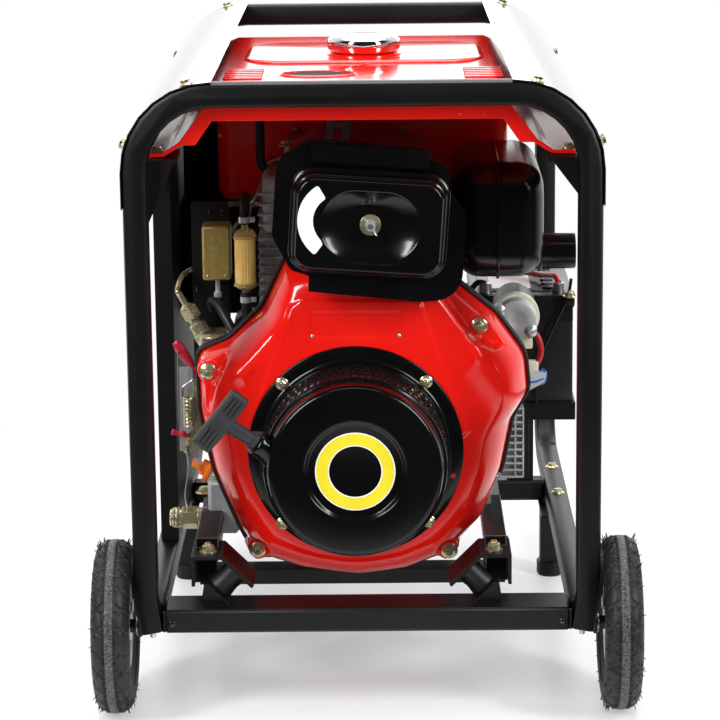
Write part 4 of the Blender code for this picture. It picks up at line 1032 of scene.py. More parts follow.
COWL_LUGS = ((-0.185, 0.384), (0.134, 0.436), (-0.131, 0.165), (0.098, 0.162))
EAR_DEPTH = 0.127


def eased(low, high, value):
    """A soft step from 0 to 1 between two values."""
    t = np.clip((value - low) / (high - low), 0, 1)
    return t * t * (3 - 2 * t)


def inside(outline, x, z):
    """Distance to an outline, positive inside it, for arrays of points."""
    nearest = np.full(x.shape, 1e9)
    within = np.zeros(x.shape, bool)
    for (ax, az), (bx, bz) in zip(outline, outline[1:] + outline[:1]):
        dx, dz = bx - ax, bz - az
        t = np.clip(((x - ax) * dx + (z - az) * dz) / (dx * dx + dz * dz), 0, 1)
        nearest = np.minimum(nearest, np.hypot(x - ax - t * dx, z - az - t * dz))
        crosses = (az > z) != (bz > z)
        within ^= crosses & (x < (bx - ax) * (z - az) / np.where(bz == az, 1e-9, bz - az) + ax)
    return np.where(within, nearest, -nearest)


def cowl_reach(angles):
    """How far the cowl's edge is from the crank's axis at each angle."""
    corners = rounded(COWL_OUTLINE, 8)
    x, z = [], []
    for (ax, az), (bx, bz) in zip(corners, corners[1:] + corners[:1]):
        for i in range(10):
            x.append(ax + (bx - ax) * i / 10 - CRANK_X)
            z.append(az + (bz - az) * i / 10 - CRANK_Z)
    around = np.arctan2(z, x)
    order = np.argsort(around)
    return np.interp(angles, around[order], np.hypot(x, z)[order], period=2 * math.pi)


def smoothed(values, width):
    """A closed run of values averaged over a window."""
    window = np.hanning(width)
    wrapped = np.concatenate([values[-width:], values, values[:width]])
    return np.convolve(wrapped, window / window.sum(), "same")[width:-width]


def ridge(x, z, start, end, width):
    """Height of a soft ridge along a line: 1 on the line, less with distance."""
    dx, dz = end[0] - start[0], end[1] - start[1]
    t = np.clip(((x - start[0]) * dx + (z - start[1]) * dz) / (dx * dx + dz * dz), 0, 1)
    return np.exp(-(((x - start[0] - t * dx) ** 2 + (z - start[1] - t * dz) ** 2) / (2 * width**2)))


def build_cowl():
    """The pressed star-shaped fan cowl and its fixings."""
    rays, mouth = 900, 0.104
    angles = np.linspace(-math.pi, math.pi, rays, endpoint=False)
    reach = cowl_reach(angles)
    share = np.concatenate([np.linspace(0, 0.55, 24), np.linspace(0.565, 0.965, 42),
                            [0.976, 0.984, 0.99, 0.995, 0.9985, 1.0]])
    radius = mouth + (reach[None, :] - mouth) * share[:, None]
    x = CRANK_X + radius * np.cos(angles)[None, :]
    z = CRANK_Z + radius * np.sin(angles)[None, :]
    roll = np.clip((reach - FLANGE_R) * 0.85, 0.03, 0.046)
    flat = np.minimum(smoothed(np.maximum(reach - roll, 0.119), 75), reach - 0.018)
    u = np.clip((radius - flat[None, :]) / (reach - flat)[None, :], 0, 1)
    depth = COWL_FRONT + (COWL_BACK - COWL_FRONT - 0.003) * (1 - np.sqrt(np.clip(1 - u**2.1, 0, 1)))
    fade = 1 - u**4
    depth -= 0.0065 * ridge(x, z, (0.136, 0.398), (0.164, 0.366), 0.016) * fade
    depth -= 0.004 * ridge(x, z, (-0.0949, 0.4536), (-0.1462, 0.386), 0.0075) * fade
    depth -= 0.003 * ridge(x, z, (0.0884, 0.4718), (0.13, 0.408), 0.006) * fade
    depth += sizes().panel_rise * (1 - eased(-0.0032, 0.003, inside(MIDDLE_PANEL, x, z)))
    depth += 0.0012 * eased(-0.0012, 0.0014, inside(NAME_RECESS, x, z))
    for ear in (LEFT_EAR, RIGHT_EAR):
        inward = eased(-0.0035, 0.0045, inside(ear, x, z))
        depth += inward * (np.maximum(depth, EAR_DEPTH) - depth)
    for lug_x, lug_z in COWL_LUGS:
        inward = 1 - eased(0.0115, 0.0175, np.hypot(x - lug_x, z - lug_z))
        depth += inward * (EAR_DEPTH + 0.001 - depth)
    wall = sizes().cowl_wall
    outer = [[(x[k, i], depth[k, i], z[k, i]) for i in range(rays)] for k in range(x.shape[0])]
    rim = [[(x[-1, i], COWL_BACK, z[-1, i]) for i in range(rays)]]
    cos, sin = np.cos(angles), np.sin(angles)
    inner = [[(x[-1, i] - wall * cos[i], COWL_BACK, z[-1, i] - wall * sin[i]) for i in range(rays)]]
    for k in (70, 66, 62, 56, 48, 36, 22, 8):
        inner.append([(x[k, i] - wall * cos[i] * min(1, 3 * share[k] - 2) * (share[k] > 0.67),
                       depth[k, i] + wall * 1.4,
                       z[k, i] - wall * sin[i] * min(1, 3 * share[k] - 2) * (share[k] > 0.67))
                       for i in range(rays)])
    lip = [[(CRANK_X + (mouth + out) * cos[i], COWL_FRONT + back, CRANK_Z + (mouth + out) * sin[i])
            for i in range(rays)]
           for back, out in ((0.0085, 0.0025), (0.0085, 0))]
    piece("pressed_fan_cowl", loft(outer + rim + inner + lip, end_to_end=True), red_enamel(),
          "machine",
          ("fan_shroud",), sharp=math.radians(60))

    trim = []
    for angle in np.linspace(math.radians(-14), math.radians(222), 150):
        r = float(cowl_reach(np.array([angle]))[0])
        cos, sin = math.cos(angle), math.sin(angle)
        section = rectangle(0.0045, 0.018, 0.0018, (r + 0.0012, COWL_BACK - 0.008), steps=3)
        trim.append([(CRANK_X + a * cos, b, CRANK_Z + a * sin) for a, b in section])
    piece("cowl_edge_trim", loft(trim), trim_rubber(), "machine", sharp=math.radians(60))
    places = [((a, EAR_DEPTH + 0.0006, b), -Y_AXIS, 0.3 + a * 9, 0.0074) for a, b in COWL_LUGS]
    zinc_fixings("cowl_flange_bolts", places)
    rivets = [((a, COWL_FRONT + 0.0004, b), -Y_AXIS, 0, 0.0022) for a, b in ((-0.0612, 0.4315),
                                                                             (0.04, 0.4315))]
    set_out("cowl_rivets", dome_head(), rivets, bright_zinc())


# ---- recoil starter -------------------------------------------------------------------------------
def build_recoil():
    """The recoil starter: cover, louvres, ring, grip and rope."""
    front, flange = DOME_FRONT, span("recoil_cover")[1].y
    centre = (CRANK_X, 0, CRANK_Z)
    dome = [(0, front + 0.0062), (0.0535, front + 0.0062), (0.0555, front + 0.0054), (0.0578, front + 0.0012),
            (0.06, front + 0.0002),
            (0.063, front), (0.093, front), (0.0965, front + 0.0004), (0.0988, front + 0.0018),
            (0.1004, front + 0.0045),
            (0.1012, front + 0.009), (0.102, front + 0.02), (0.1026, front + 0.0215),
            (0.1052, front + 0.0225),
            (0.1062, front + 0.024), (0.1075, flange - 0.015), (0.109, flange - 0.008),
            (0.1115, flange - 0.0048),
            (0.115, flange - 0.004), (FLANGE_R - 0.0008, flange - 0.004), (FLANGE_R, flange - 0.0032),
            (FLANGE_R, flange),
            (0.106, flange), (0.104, flange - 0.015), (0.099, front + 0.02), (0.096, front + 0.009),
            (0.093, front + 0.004),
            (0.06, front + 0.003), (0.056, front + 0.009), (0, front + 0.009)]
    mouth, grip = Vector((-0.1265, 0.016, 0.328)), Vector((-0.1635, -0.004, 0.3575))
    pull = (grip - mouth).normalized()
    snout = []
    side = pull.cross(Y_AXIS).normalized()
    up = side.cross(pull).normalized()
    for along, wide, tall in ((-0.06, 0.026, 0.03), (-0.044, 0.0235, 0.026), (-0.03, 0.0195, 0.021),
                              (-0.018, 0.016, 0.017),
                              (-0.008, 0.0146, 0.015), (-0.003, 0.0146, 0.0148), (-0.0008, 0.0136, 0.0138),
                              (0, 0.011, 0.011)):
        spots = whole_turn(32)
        snout.append([mouth + pull * along + side * wide * math.cos(a) + up * tall * math.sin(a)
                      for a in spots])
    piece("recoil_housing", joined(turned(dome, centre, Y_AXIS, 144), loft(snout)), recoil_black(),
          "machine",
          ("recoil_cover",), sharp=math.radians(50))
    edge = [(0.1063, front + 0.0245), (0.1078, flange - 0.0152), (0.1066, flange - 0.0152),
            (0.1052, front + 0.0245)]
    piece("recoil_louvre_band", turned(edge, centre, Y_AXIS, 144), matt_black())
    slots = []
    for row, depth in enumerate((front + 0.033, front + 0.05, front + 0.067)):
        for i in range(37):
            a = math.radians(8 + 4.55 * (i + 0.5 * (row % 2)))
            out = Vector((math.cos(a), -0.03, math.sin(a)))
            r = 0.1058 + (depth - front) * 0.022
            slots.append(((CRANK_X + r * out.x, depth, CRANK_Z + r * out.z), out, 0, 1.0))
    slot_item = block((-0.0021, 0.0021), (-0.0056, 0.0056), (-0.0003, 0.0006), 0.0002, 1)
    set_out("recoil_louvres", slot_item, slots, gloss_black())
    bolts = [((a, flange - 0.0041, b), -Y_AXIS, a * 7, 0.0056) for a, b in
             ((-0.097, 0.376), (0.071, 0.377), (-0.099, 0.207), (0.073, 0.208))]
    zinc_fixings("recoil_flange_bolts", bolts)
    holes = [((a, flange - 0.0042, b), -Y_AXIS, 0, 0.0034) for a, b in ((-0.0438, 0.407), (0.0173, 0.407),
                                                                        (0.1005, 0.323))]
    rim = band(0.75, 1.0, 0, 0.1, (0, 0, 0), Z_AXIS, 20)
    set_out("recoil_flange_hole_rims", rim, holes, gloss_black())
    plug = turned([(0, 0), (0.0031, 0), (0.0028, 0.0006), (0, 0.0007)], (0.102, flange - 0.0041,
                                                                         0.263), -Y_AXIS, 20)
    piece("red_flange_plug", plug, red_dip())
    outer, inner, face = sizes().ring_outer, sizes().ring_inner, front + 0.0061
    for name, grow, lift, surface in (("starter_ring_border", 0, 0.0004, white_vinyl()),
                                      ("starter_ring", 0.0014, 0.0007, yellow_vinyl())):
        ring = [(inner + grow, 0), (outer - grow, 0), (outer - grow, -lift), (inner + grow, -lift)]
        piece(name, turned(ring, (CRANK_X, face, CRANK_Z), Y_AXIS, 96), surface)

    along = Y_AXIS.cross(pull).normalized()
    across = along.cross(Y_AXIS)

    def at(a, b, depth):
        p = grip + along * a + across * b
        return (p.x, grip.y + depth, p.z)

    bar = []
    for depth, inset in ((-0.009, 0.003), (-0.0084, 0.0012), (-0.007, 0.0002), (0, 0), (0.007, 0.0004),
                         (0.0086, 0.002), (0.009, 0.004)):
        w, h = 0.038 - inset, 0.0125 - inset
        outline = rounded([(-w, -h * 0.9, 0.0025), (-0.01, -h, 0.02), (0.01, -h, 0.02), (w, -h * 0.9, 0.0025),
                           (w, h, 0.0025), (-w, h, 0.0025)], 4)
        bar.append([at(a, b, depth) for a, b in outline])
    to_mouth = (mouth - grip).length
    neck = []
    for t, wide, deep in ((0.004, 0.01, 0.008), (0.012, 0.0092, 0.0076), (0.03, 0.0086, 0.0072),
                          (to_mouth - 0.006, 0.0084, 0.0072),
                          (to_mouth - 0.005, 0.0108, 0.0098), (to_mouth - 0.0006, 0.0108, 0.0098)):
        spots = whole_turn(24)
        neck.append([grip - pull * t + along * wide * math.cos(a) + up * deep * math.sin(a) for a in spots])
    piece("pull_grip_body", joined(loft(bar), loft(neck)), grip_rubber(), "pull_grip",
          ("recoil_handle",),
          sharp=math.radians(50))
    ribs = []
    for end in (-1, 1):
        for k in range(4):
            spot = at(end * 0.0225, -0.0078 + 0.0052 * k, -0.0092)
            ribs.append((spot, -Y_AXIS, 0, 1.0))
    rib = block((-0.0105, 0.0105), (-0.0012, 0.0012), (-0.0008, 0.0018), 0.0008, 2)
    flat = Z_AXIS.rotation_difference(-Y_AXIS)
    wanted = Vector((along.x, 0, along.z))
    start = flat @ X_AXIS
    spin = start.angle(wanted) * (1 if start.cross(wanted).dot(-Y_AXIS) > 0 else -1)
    set_out("pull_grip_ribs", rib, [(p, w, spin, s) for p, w, _, s in ribs], grip_rubber(), "pull_grip")
    starter_rope(mouth, grip, pull)


def starter_rope(mouth, grip, pull):
    """The rope between mouth and grip: a straight cord that lies hidden in the grip's neck at rest."""
    shift = Vector((0, FRONT_Y, 0))
    reach = (grip - mouth).length
    rope = pipe([mouth + shift + pull * (-0.006 + (reach - 0.002) * k / 30) for k in range(31)], 0.0022, 12,
                1)
    mesh = mesh_of("starter_rope", rope)
    mesh.materials.append(rope_braid())
    mesh.shade_smooth()
    made = placed("starter_rope", mesh)
    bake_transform(made)


# ---- air filter -----------------------------------------------------------------------------------
def build_air_filter():
    """The air filter case, its pleats, lid and wing nut."""
    tilt = math.radians(-4.0)
    wing = middle("wing_nut")
    body_mid = (0.0063, 0.5725)

    def ring(width, height, corner, depth, to_wing=0.0):
        centre = tuple(m + (w - m) * to_wing for m, w in zip(body_mid, (wing.x, wing.z)))
        return [(a, depth, b) for a, b in rectangle(width, height, corner, centre, tilt, 14)]

    loops = [ring(0.17, 0.11, 0.02, 0.0655), ring(0.181, 0.121, 0.0255, 0.0653),
             ring(0.182, 0.122, 0.026, 0.0645),
             ring(0.182, 0.122, 0.026, 0.058), ring(0.1812, 0.1212, 0.0256, 0.056),
             ring(0.179, 0.119, 0.0246, 0.0547),
             ring(0.1762, 0.1162, 0.0238, 0.0543), ring(0.1744, 0.1144, 0.023, 0.0536),
             ring(0.1735, 0.1135, 0.0226, 0.0515),
             ring(0.1728, 0.1128, 0.0223, 0.042), ring(0.1716, 0.1116, 0.022, 0.0396),
             ring(0.1696, 0.1096, 0.0212, 0.0384),
             ring(0.1672, 0.1072, 0.0206, 0.0379), ring(0.166, 0.106, 0.0202, 0.037),
             ring(0.1654, 0.1054, 0.02, 0.0345),
             ring(0.1646, 0.1046, 0.0196, 0.031), ring(0.1626, 0.1026, 0.019, 0.029),
             ring(0.1596, 0.0996, 0.018, 0.0283),
             ring(0.156, 0.096, 0.0176, 0.0281), ring(0.127, 0.089, 0.0425, 0.0281, 0.9),
             ring(0.1205, 0.087, 0.0425, 0.0281, 1),
             ring(0.118, 0.0845, 0.0415, 0.0275, 1), ring(0.115, 0.0815, 0.04, 0.0275, 1),
             ring(0.1115, 0.0785, 0.0385, 0.029, 1),
             ring(0.102, 0.0715, 0.035, 0.0318, 1), ring(0.083, 0.061, 0.03, 0.0362, 1),
             ring(0.064, 0.051, 0.025, 0.0395, 1),
             ring(0.052, 0.045, 0.0222, 0.0405, 1), ring(0.046, 0.041, 0.02, 0.0408, 1),
             ring(0.03, 0.03, 0.0149, 0.0408, 1),
             ring(0.008, 0.008, 0.0039, 0.0406, 1), ring(0.0072, 0.0072, 0.0035, 0.041, 1),
             ring(0.0072, 0.0072, 0.0035, 0.05, 1)]
    cover = piece("air_filter_lid", loft(loops, caps=False), recoil_black(), "filter_cover",
                  ("air_filter_cover",),
                  sharp=math.radians(60))
    wall = cover.modifiers.new("Wall", "SOLIDIFY")
    wall.thickness = 0.0008
    wall.offset = -1

    def sector(outer, inner, depth, first, last):
        path = [math.radians(first + (last - first) * i / 120) for i in range(121)]
        mid, corner = (-0.0265, 0.58), 0.0026
        rim = []
        for radius, way, angles in ((outer, -1, path), (inner, 1, path[::-1])):
            for a in angles:
                short = corner - min(corner, min(a - path[0], path[-1] - a) * radius)
                r = radius + way * (corner - math.sqrt(corner ** 2 - short ** 2))
                rim.append((mid[0] + r * math.cos(a), mid[1] + r * math.sin(a)))
        return prism(rim, "y", depth)
    piece("plain_arc_label", sector(0.0478, 0.0302, (0.0276, 0.0286), 120, 233), white_vinyl(),
          "filter_cover",
          bevel=0.0001)

    flange = rounded([(-0.105, 0.556, 0.02), (-0.0985, 0.643, 0.03), (-0.062, 0.668, 0.02),
                      (0.0757, 0.6548, 0.001),
                      (0.0764, 0.6424, 0.001), (0.1, 0.64, 0.026), (0.1009, 0.6062, 0.002),
                      (0.1173, 0.5797, 0.004),
                      (0.1115, 0.48, 0.034), (0.06, 0.4786, 0.03), (-0.0637, 0.4917, 0.001),
                      (-0.0634, 0.51, 0.001),
                      (-0.084, 0.517, 0.012)], 8)
    piece("filter_flange", prism(flange, "y", (0.0662, 0.085)), gloss_black(), "machine",
          bevel=0.0016)
    low, high = span("air_filter_box")
    mid_x, mid_z = (low.x + high.x) / 2, (low.z + high.z) / 2
    case = [[(mid_x + (a - mid_x) * k, depth, mid_z + (b - mid_z) * k) for a, b in flange]
            for depth, k in ((0.0848, 0.93), (high.y - 0.012, 0.93), (high.y - 0.003, 0.9), (high.y, 0.86))]
    piece("filter_case", loft(case), gloss_black(), "machine", ("air_filter_box",))
    strip = prism([(-0.06, 0.644), (0.0757, 0.633), (0.0757, 0.6535), (-0.0585, 0.664)], "y", (0.056, 0.067))
    piece("filter_hood", strip, gloss_black(), "machine", bevel=0.0006)

    centre = Vector((wing.x, 0, wing.z))
    washer = turned([(0.0042, 0.0384), (0.0115, 0.0384), (0.0121, 0.039), (0.0121, 0.0398), (0.0042, 0.0398)],
                    centre, Y_AXIS, 48)
    boss = turned([(0.0032, 0.0275), (0.0052, 0.0275), (0.0062, 0.034), (0.0068, 0.038), (0.0032, 0.038)],
                  centre, Y_AXIS, 32)
    wings = []
    lean = math.radians(-55)
    for sign in (-1, 1):
        loops = []
        for out, tall, thick, back in ((0.004, 0.006, 0.0019, 0.0345), (0.0075, 0.0055, 0.0014, 0.031),
                                       (0.0105, 0.0052, 0.0012, 0.0275), (0.0124, 0.0036, 0.0009, 0.0262)):
            spots = whole_turn(16)
            loops.append([(centre.x + sign * out * math.cos(lean) - thick * math.sin(a) * math.sin(lean),
                           back + tall * 0.5 * math.cos(a),
                           centre.z + sign * out * math.sin(lean) + thick * math.sin(a) * math.cos(lean))
                           for a in spots])
        wings.append(loft(loops))
    piece("wing_nut_washer", washer, yellow_zinc(), "filter_nut")
    piece("wing_nut_body", joined(boss, *wings), bright_zinc(), "filter_nut", ("wing_nut",))
    stud = turned([(0, 0.0262), (0.0022, 0.0262), (0.0029, 0.027), (0.0029, 0.048), (0, 0.048)],
                  centre, Y_AXIS, 24)
    piece("filter_stud_end", stud, steel(), "machine")


# ---- muffler --------------------------------------------------------------------------------------
def build_muffler():
    """The pressed muffler, its outlet and its fixings."""
    left, right = 0.107, 0.213
    seam = 0.158
    front, back, low, high = 0.17, 0.4, 0.48, 0.618
    mid = ((front + back) / 2, (low + high) / 2)
    wide, tall, soft = back - front, high - low, 0.03

    def section(x, grow=0.0):
        gap = min(x - left, right - x)
        inset = soft - math.sqrt(max(0, soft**2 - max(0, soft - gap) ** 2)) - grow
        outline = rectangle(wide - 2 * inset, tall - 2 * inset, 0.034 - 0.5 * inset, mid, steps=8)
        return [(x, a, b) for a, b in outline]

    steps = [left + 0.0002 + soft * (1 - math.cos(math.pi / 2 * i / 9)) for i in range(10)]
    steps += [seam - 0.004] + [seam + 0.004] + [right - 0.0002 - soft * (1 - math.sin(math.pi / 2 * i / 9))
                                                for i in range(10)]
    shell = loft([section(x) for x in sorted(steps)])
    bead = loft([section(seam - 0.0022, 0.0004), section(seam - 0.0018, 0.002), section(seam, 0.0026),
                 section(seam + 0.0018, 0.002),
                 section(seam + 0.0022, 0.0004)])
    z, depth, r = 0.501, 0.25, 0.0215
    tail = turned([(r - 0.0022, 0), (r, 0), (r, 0.05), (r - 0.0011, 0.0508), (r - 0.0022, 0.05)],
                  (0.203, depth, z), X_AXIS, 48)
    collar = turned([(r - 0.001, 0), (r + 0.003, 0), (r + 0.003, 0.003), (r + 0.0008, 0.005),
                     (r - 0.001, 0.005)],
                    (0.2085, depth, z), X_AXIS, 48)
    bottom = band(0, r - 0.001, 0, 0.001, (0.211, depth, z), X_AXIS, 32)
    inlet = rod((0.0865, 0.3, 0.566), (0.112, 0.3, 0.566), 0.018, 32, 0.001)
    flange = prism(rectangle(0.052, 0.04, 0.008, (0.3, 0.566)), "x", (0.0864, 0.0914), 0.0006, 1)
    piece("pressed_muffler", joined(shell, bead, tail, collar, bottom, inlet, flange), heat_black(),
          "machine",
          ("muffler",), sharp=math.radians(45))
    nuts = [((0.0915, 0.3 + s * 0.0195, 0.566), X_AXIS, 0.2, 0.006) for s in (-1, 1)]
    zinc_fixings("exhaust_flange_nuts", nuts, stud_and_nut)


# ---- engine block ---------------------------------------------------------------------------------
def build_engine():
    """Crankcase, barrel, head, crankshaft and fan."""
    refined("crankcase", cast_aluminium(), 0.0012)
    refined("cylinder_head", cast_aluminium(), 0.001)
    dressed("crankshaft", steel())
    dressed("flywheel_fan", cast_aluminium())
    low, high = span("cylinder_block")
    gap = 0.006
    core = block((low.x + gap, high.x - gap), (low.y + gap, high.y - gap), (low.z, high.z), 0.01)
    piece("barrel_core", core, cast_aluminium(), "machine", ("cylinder_block",))
    count = int((high.z - low.z - 0.008) / sizes().fin_pitch) + 1
    bars("barrel_fins", count, ((low.x + high.x) / 2, (low.y + high.y) / 2, low.z + 0.005),
         (0, 0, sizes().fin_pitch),
         (high.x - low.x, high.y - low.y, 0.0034), cast_aluminium(), bevel=0.0012)
    bars("head_fins", 4, ((low.x + high.x) / 2 + 0.001, (low.y + high.y) / 2, 0.541), (0, 0, 0.0125),
         (high.x - low.x, high.y - low.y + 0.012, 0.0034), cast_aluminium(), bevel=0.0012)
    gold = [((x, y, 0.634), Z_AXIS, x * 9, 0.0058) for x in (-0.083, 0.047) for y in (0.246, 0.354)]
    gold += [((-0.03, 0.2865, 0.622), -Y_AXIS, 0.4, 0.0052), ((-0.093, 0.238, 0.634), Z_AXIS, 0.2, 0.007)]
    gold += [((x, 0.19, z), -Y_AXIS, x * 7, 0.0056) for x, z in ((-0.152, 0.395), (-0.155, 0.24),
                                                                 (0.112, 0.24))]
    gold += [((-0.1985, 0.215, 0.212), Z_AXIS, 0.5, 0.008), ((-0.181, 0.195, 0.2352), Z_AXIS, 0.2, 0.0072)]
    zinc_fixings("engine_flange_bolts", gold)
    plug = loft([[(x, 0.195 + 0.014 * math.cos(a), 0.186 + 0.014 * math.sin(a)) for a in
                  (math.pi / 3 * i + 0.3 for i in range(6))] for x in (-0.224, -0.206)])
    thin = rod((-0.2065, 0.195, 0.186), (-0.19, 0.195, 0.186), 0.0128, 32, 0.001)
    cap = turned([(0, 0), (0.009, 0), (0.0106, 0.0014), (0.0106, 0.0034), (0.0122, 0.0042), (0.0122, 0.0058),
                  (0.0116, 0.0066),
                  (0.0128, 0.0078), (0.0128, 0.0102), (0.0116, 0.011), (0.0116, 0.015), (0, 0.015)],
                 (-0.2395, 0.195, 0.186), X_AXIS, 32)
    piece("drain_plug", joined(plug, thin, cap), yellow_zinc(), bevel=0.0006)
    feet = [block((low_x, high_x), (0.0656, 0.2404), (0.1861, 0.1987), 0.0012, 1)
            for low_x, high_x in ((-0.2003, -0.1737), (0.1377, 0.1633))]
    piece("engine_foot_bars", joined(*feet), powder_black())
    ribs = [prism([(x, 0.2), (x + 0.006, 0.2), (x + 0.006, 0.396), (x, 0.396)], "y", (0.186, 0.1935), 0.0012)
            for x in (-0.138, -0.1, 0.08)]
    piece("crankcase_ribs", joined(*ribs), cast_aluminium())


# ---- left side: fuel, governor and stop gear ----------------------------------------------------------
def build_fuel_side():
    """Injection pump, levers, fuel filter, hoses and governor parts."""
    refined("injection_pump", yellow_zinc(), 0.0006)
    for name, body, node, line in (("throttle_grip", "throttle", "throttle_lever", (
            (-0.2275, 0.406, 0.004), (-0.2262, 0.404, 0.0058), (-0.2215, 0.3965, 0.0066),
            (-0.215, 0.3865, 0.0064),
            (-0.21, 0.379, 0.0052), (-0.2076, 0.3752, 0.003), (-0.207, 0.3735, 0.0016),
            (-0.205, 0.36, 0.0016))),
                                   ("stop_flag", "stop", "stop_lever", (
            (-0.235, 0.2945, 0.003), (-0.2335, 0.294, 0.0042), (-0.23, 0.293, 0.0036),
            (-0.226, 0.292, 0.0024),
            (-0.2225, 0.2925, 0.0042), (-0.2205, 0.2915, 0.0046), (-0.219, 0.289, 0.003),
            (-0.213, 0.285, 0.0018)))):
        mid = middle(node)
        rings = []
        for (x, z, r), (nx, nz, _) in zip(line, line[1:] + (line[-1],)):
            way = Vector((nx - x, 0, nz - z))
            way = way.normalized() if way.length else ahead
            ahead = way
            flat = Vector((way.z, 0, -way.x))
            rings.append([Vector((x, mid.y, z)) + flat * r * math.cos(a) + Y_AXIS * r * 0.7 * math.sin(a)
                          for a in whole_turn(20)])
        piece(name, loft(rings), red_dip(), body, (node,), levels=1)
    refined("oil_cap", orange_abs(), 0.0008)
    refined("solenoid_bracket", powder_black(), 0.0004)
    refined("stop_solenoid", rainbow_zinc(), 0.0004)
    refined("solenoid_plunger", bright_zinc(), 0.0003)
    refined("fuel_hose", hose_rubber(), 0)
    lean = Vector((-0.47, 0, 0.88)).normalized()
    root = Vector((-0.192, 0.235, 0.395))
    side, deep = lean.orthogonal().normalized(), lean.cross(lean.orthogonal()).normalized()
    nuts = []
    for near, far, reach in ((0.006, 0.016, 0.013), (0.0345, 0.049, 0.0118)):
        nuts.append(loft([[root + lean * level + (side * math.cos(math.pi / 3 * i) + deep
                                                  * math.sin(math.pi / 3 * i)) * r
                           for i in range(6)] for level, r in ((near, reach * 0.9), (near + 0.0012, reach),
                                                               (far - 0.0012, reach), (far, reach * 0.9))]))
    tip = root + lean * 0.069
    line = pipe([tip - lean * 0.016, tip - lean * 0.004, tip + lean * 0.004,
                 tip + Vector((0.002, 0.022, 0.016)),
                 tip + Vector((0.01, 0.052, 0.018)), tip + Vector((0.026, 0.072, 0.024)),
                 tip + Vector((0.06, 0.082, 0.06)),
                 Vector((-0.132, 0.322, 0.56)), Vector((-0.118, 0.32, 0.596)),
                 Vector((-0.1, 0.318, 0.606))], 0.0031, 16)
    piece("injection_line_and_nuts", joined(*nuts, line), yellow_zinc())
    x, depth = middle("fuel_filter").x, middle("fuel_filter").y
    low, high = span("fuel_filter")[0].z, span("fuel_filter")[1].z
    # Two thin matt black sheets stand in the gaps behind the engine where there is only shade: painted shade,
    # so the pale room does not show through.
    lower_shade_sheet = block((-0.199, -0.129), (0.386, 0.388), (0.398, 0.53), 0.0004, 1)
    upper_shade_sheet = block((-0.23, -0.133), (0.446, 0.448), (0.53, 0.695), 0.0004, 1)
    piece("engine_bay_baffles", joined(lower_shade_sheet, upper_shade_sheet), matt_black())
    bowl = [(0, low + 0.003), (0.006, low + 0.0035), (0.0112, low + 0.007), (0.0126, low + 0.0105),
            (0.0126, high - 0.0165),
            (0.0132, high - 0.015), (0.0132, high - 0.012), (0.0105, high - 0.0075), (0.006, high - 0.0055),
            (0, high - 0.005)]
    piece("filter_bowl", turned(bowl, (x, depth, 0), Z_AXIS, 48), amber_nylon(),
          stands_for=("fuel_filter",))
    rims = [band(0.0108, 0.0142, z - 0.0013, z + 0.0013, (x, depth, 0), Z_AXIS, 48)
            for z in (low + 0.01, high - 0.015)]
    spigots = [rod((x, depth, low), (x, depth, low + 0.005), 0.0042, 20, 0.0004),
               rod((x, depth, high - 0.006), (x, depth, high), 0.0042, 20, 0.0004)]
    piece("filter_rims", joined(*rims, *spigots), amber_nylon())
    star = [(x + (0.011 if i % 2 else 0.008) * math.cos(math.pi * i / 18), depth + (0.011 if i % 2
            else 0.008) * math.sin(math.pi * i / 18))
            for i in range(36)]
    piece("filter_pleats", prism(star, "z", (low + 0.012, high - 0.017)), filter_paper(),
          sharp=math.radians(20))
    clamps = []
    for spot, r in (((x, depth, high + 0.006), 0.0072), ((x, depth, low - 0.008), 0.007),
                    ((-0.15, 0.44, 0.527), 0.0068)):
        clamps.append(band(r - 0.0014, r, -0.0035, 0.0035, spot, Z_AXIS, 32))
        clamps.append(block((spot[0] + r - 0.001, spot[0] + r + 0.0055), (spot[1] - 0.0035, spot[1] + 0.0035),
                            (spot[2] - 0.003, spot[2] + 0.003), 0.0006))
    piece("hose_clamps", joined(*clamps), bright_zinc())
    lower = pipe([(x, depth, low + 0.001), (x, depth, low - 0.014), (x + 0.001, depth + 0.002, low - 0.03),
                  (-0.146, 0.212, 0.415),
                  (-0.15, 0.222, 0.398)], 0.0062, 16)
    loop = pipe([(-0.186, 0.262, 0.43), (-0.187, 0.25, 0.441), (-0.184, 0.236, 0.446), (-0.176, 0.224, 0.441),
                 (-0.168, 0.214, 0.43),
                 (-0.16, 0.206, 0.417), (-0.153, 0.202, 0.403)], 0.0055, 16)
    vent = pipe([(-0.126, 0.3, 0.69), (-0.126, 0.3, 0.655), (-0.126, 0.3, 0.612), (-0.124, 0.3, 0.6),
                 (-0.116, 0.3, 0.5945),
                 (-0.1, 0.3, 0.594)], 0.0056, 16)
    piece("small_hoses", joined(lower, loop, vent), hose_rubber())
    clip = band(0.005, 0.0068, -0.003, 0.003, (-0.157, 0.204, 0.41), (0.4, -0.1, -0.8), 24)
    clip_low = band(0.0052, 0.007, -0.003, 0.003, (-0.126, 0.3, 0.681), Z_AXIS, 24)
    piece("small_hose_clips", joined(clip, clip_low), bright_zinc())
    wire = pipe([(-0.224, 0.186, 0.396), (-0.2245, 0.186, 0.37), (-0.225, 0.186, 0.335),
                 (-0.2245, 0.186, 0.3)], 0.001, 8)
    crank = pipe([(-0.207, 0.186, 0.372), (-0.208, 0.185, 0.36), (-0.219, 0.184, 0.352),
                  (-0.22, 0.184, 0.34)], 0.0012, 8)
    pull_wire = pipe([(-0.218, 0.186, 0.285), (-0.215, 0.188, 0.25), (-0.22, 0.192, 0.215),
                      (-0.216, 0.2, 0.19)], 0.0012, 8)
    stem = pipe([(-0.179, 0.259, 0.447), (-0.179, 0.259, 0.436)], 0.0016, 8)
    piece("governor_wires", joined(wire, crank, pull_wire, stem), steel())
    coil = []
    for i in range(15 * 10 + 1):
        a, t = 2 * math.pi * i / 10, i / 150
        coil.append((-0.2125 + 0.0062 * math.cos(a), 0.187 + 0.005 * math.sin(a), 0.3385 - 0.036 * t))
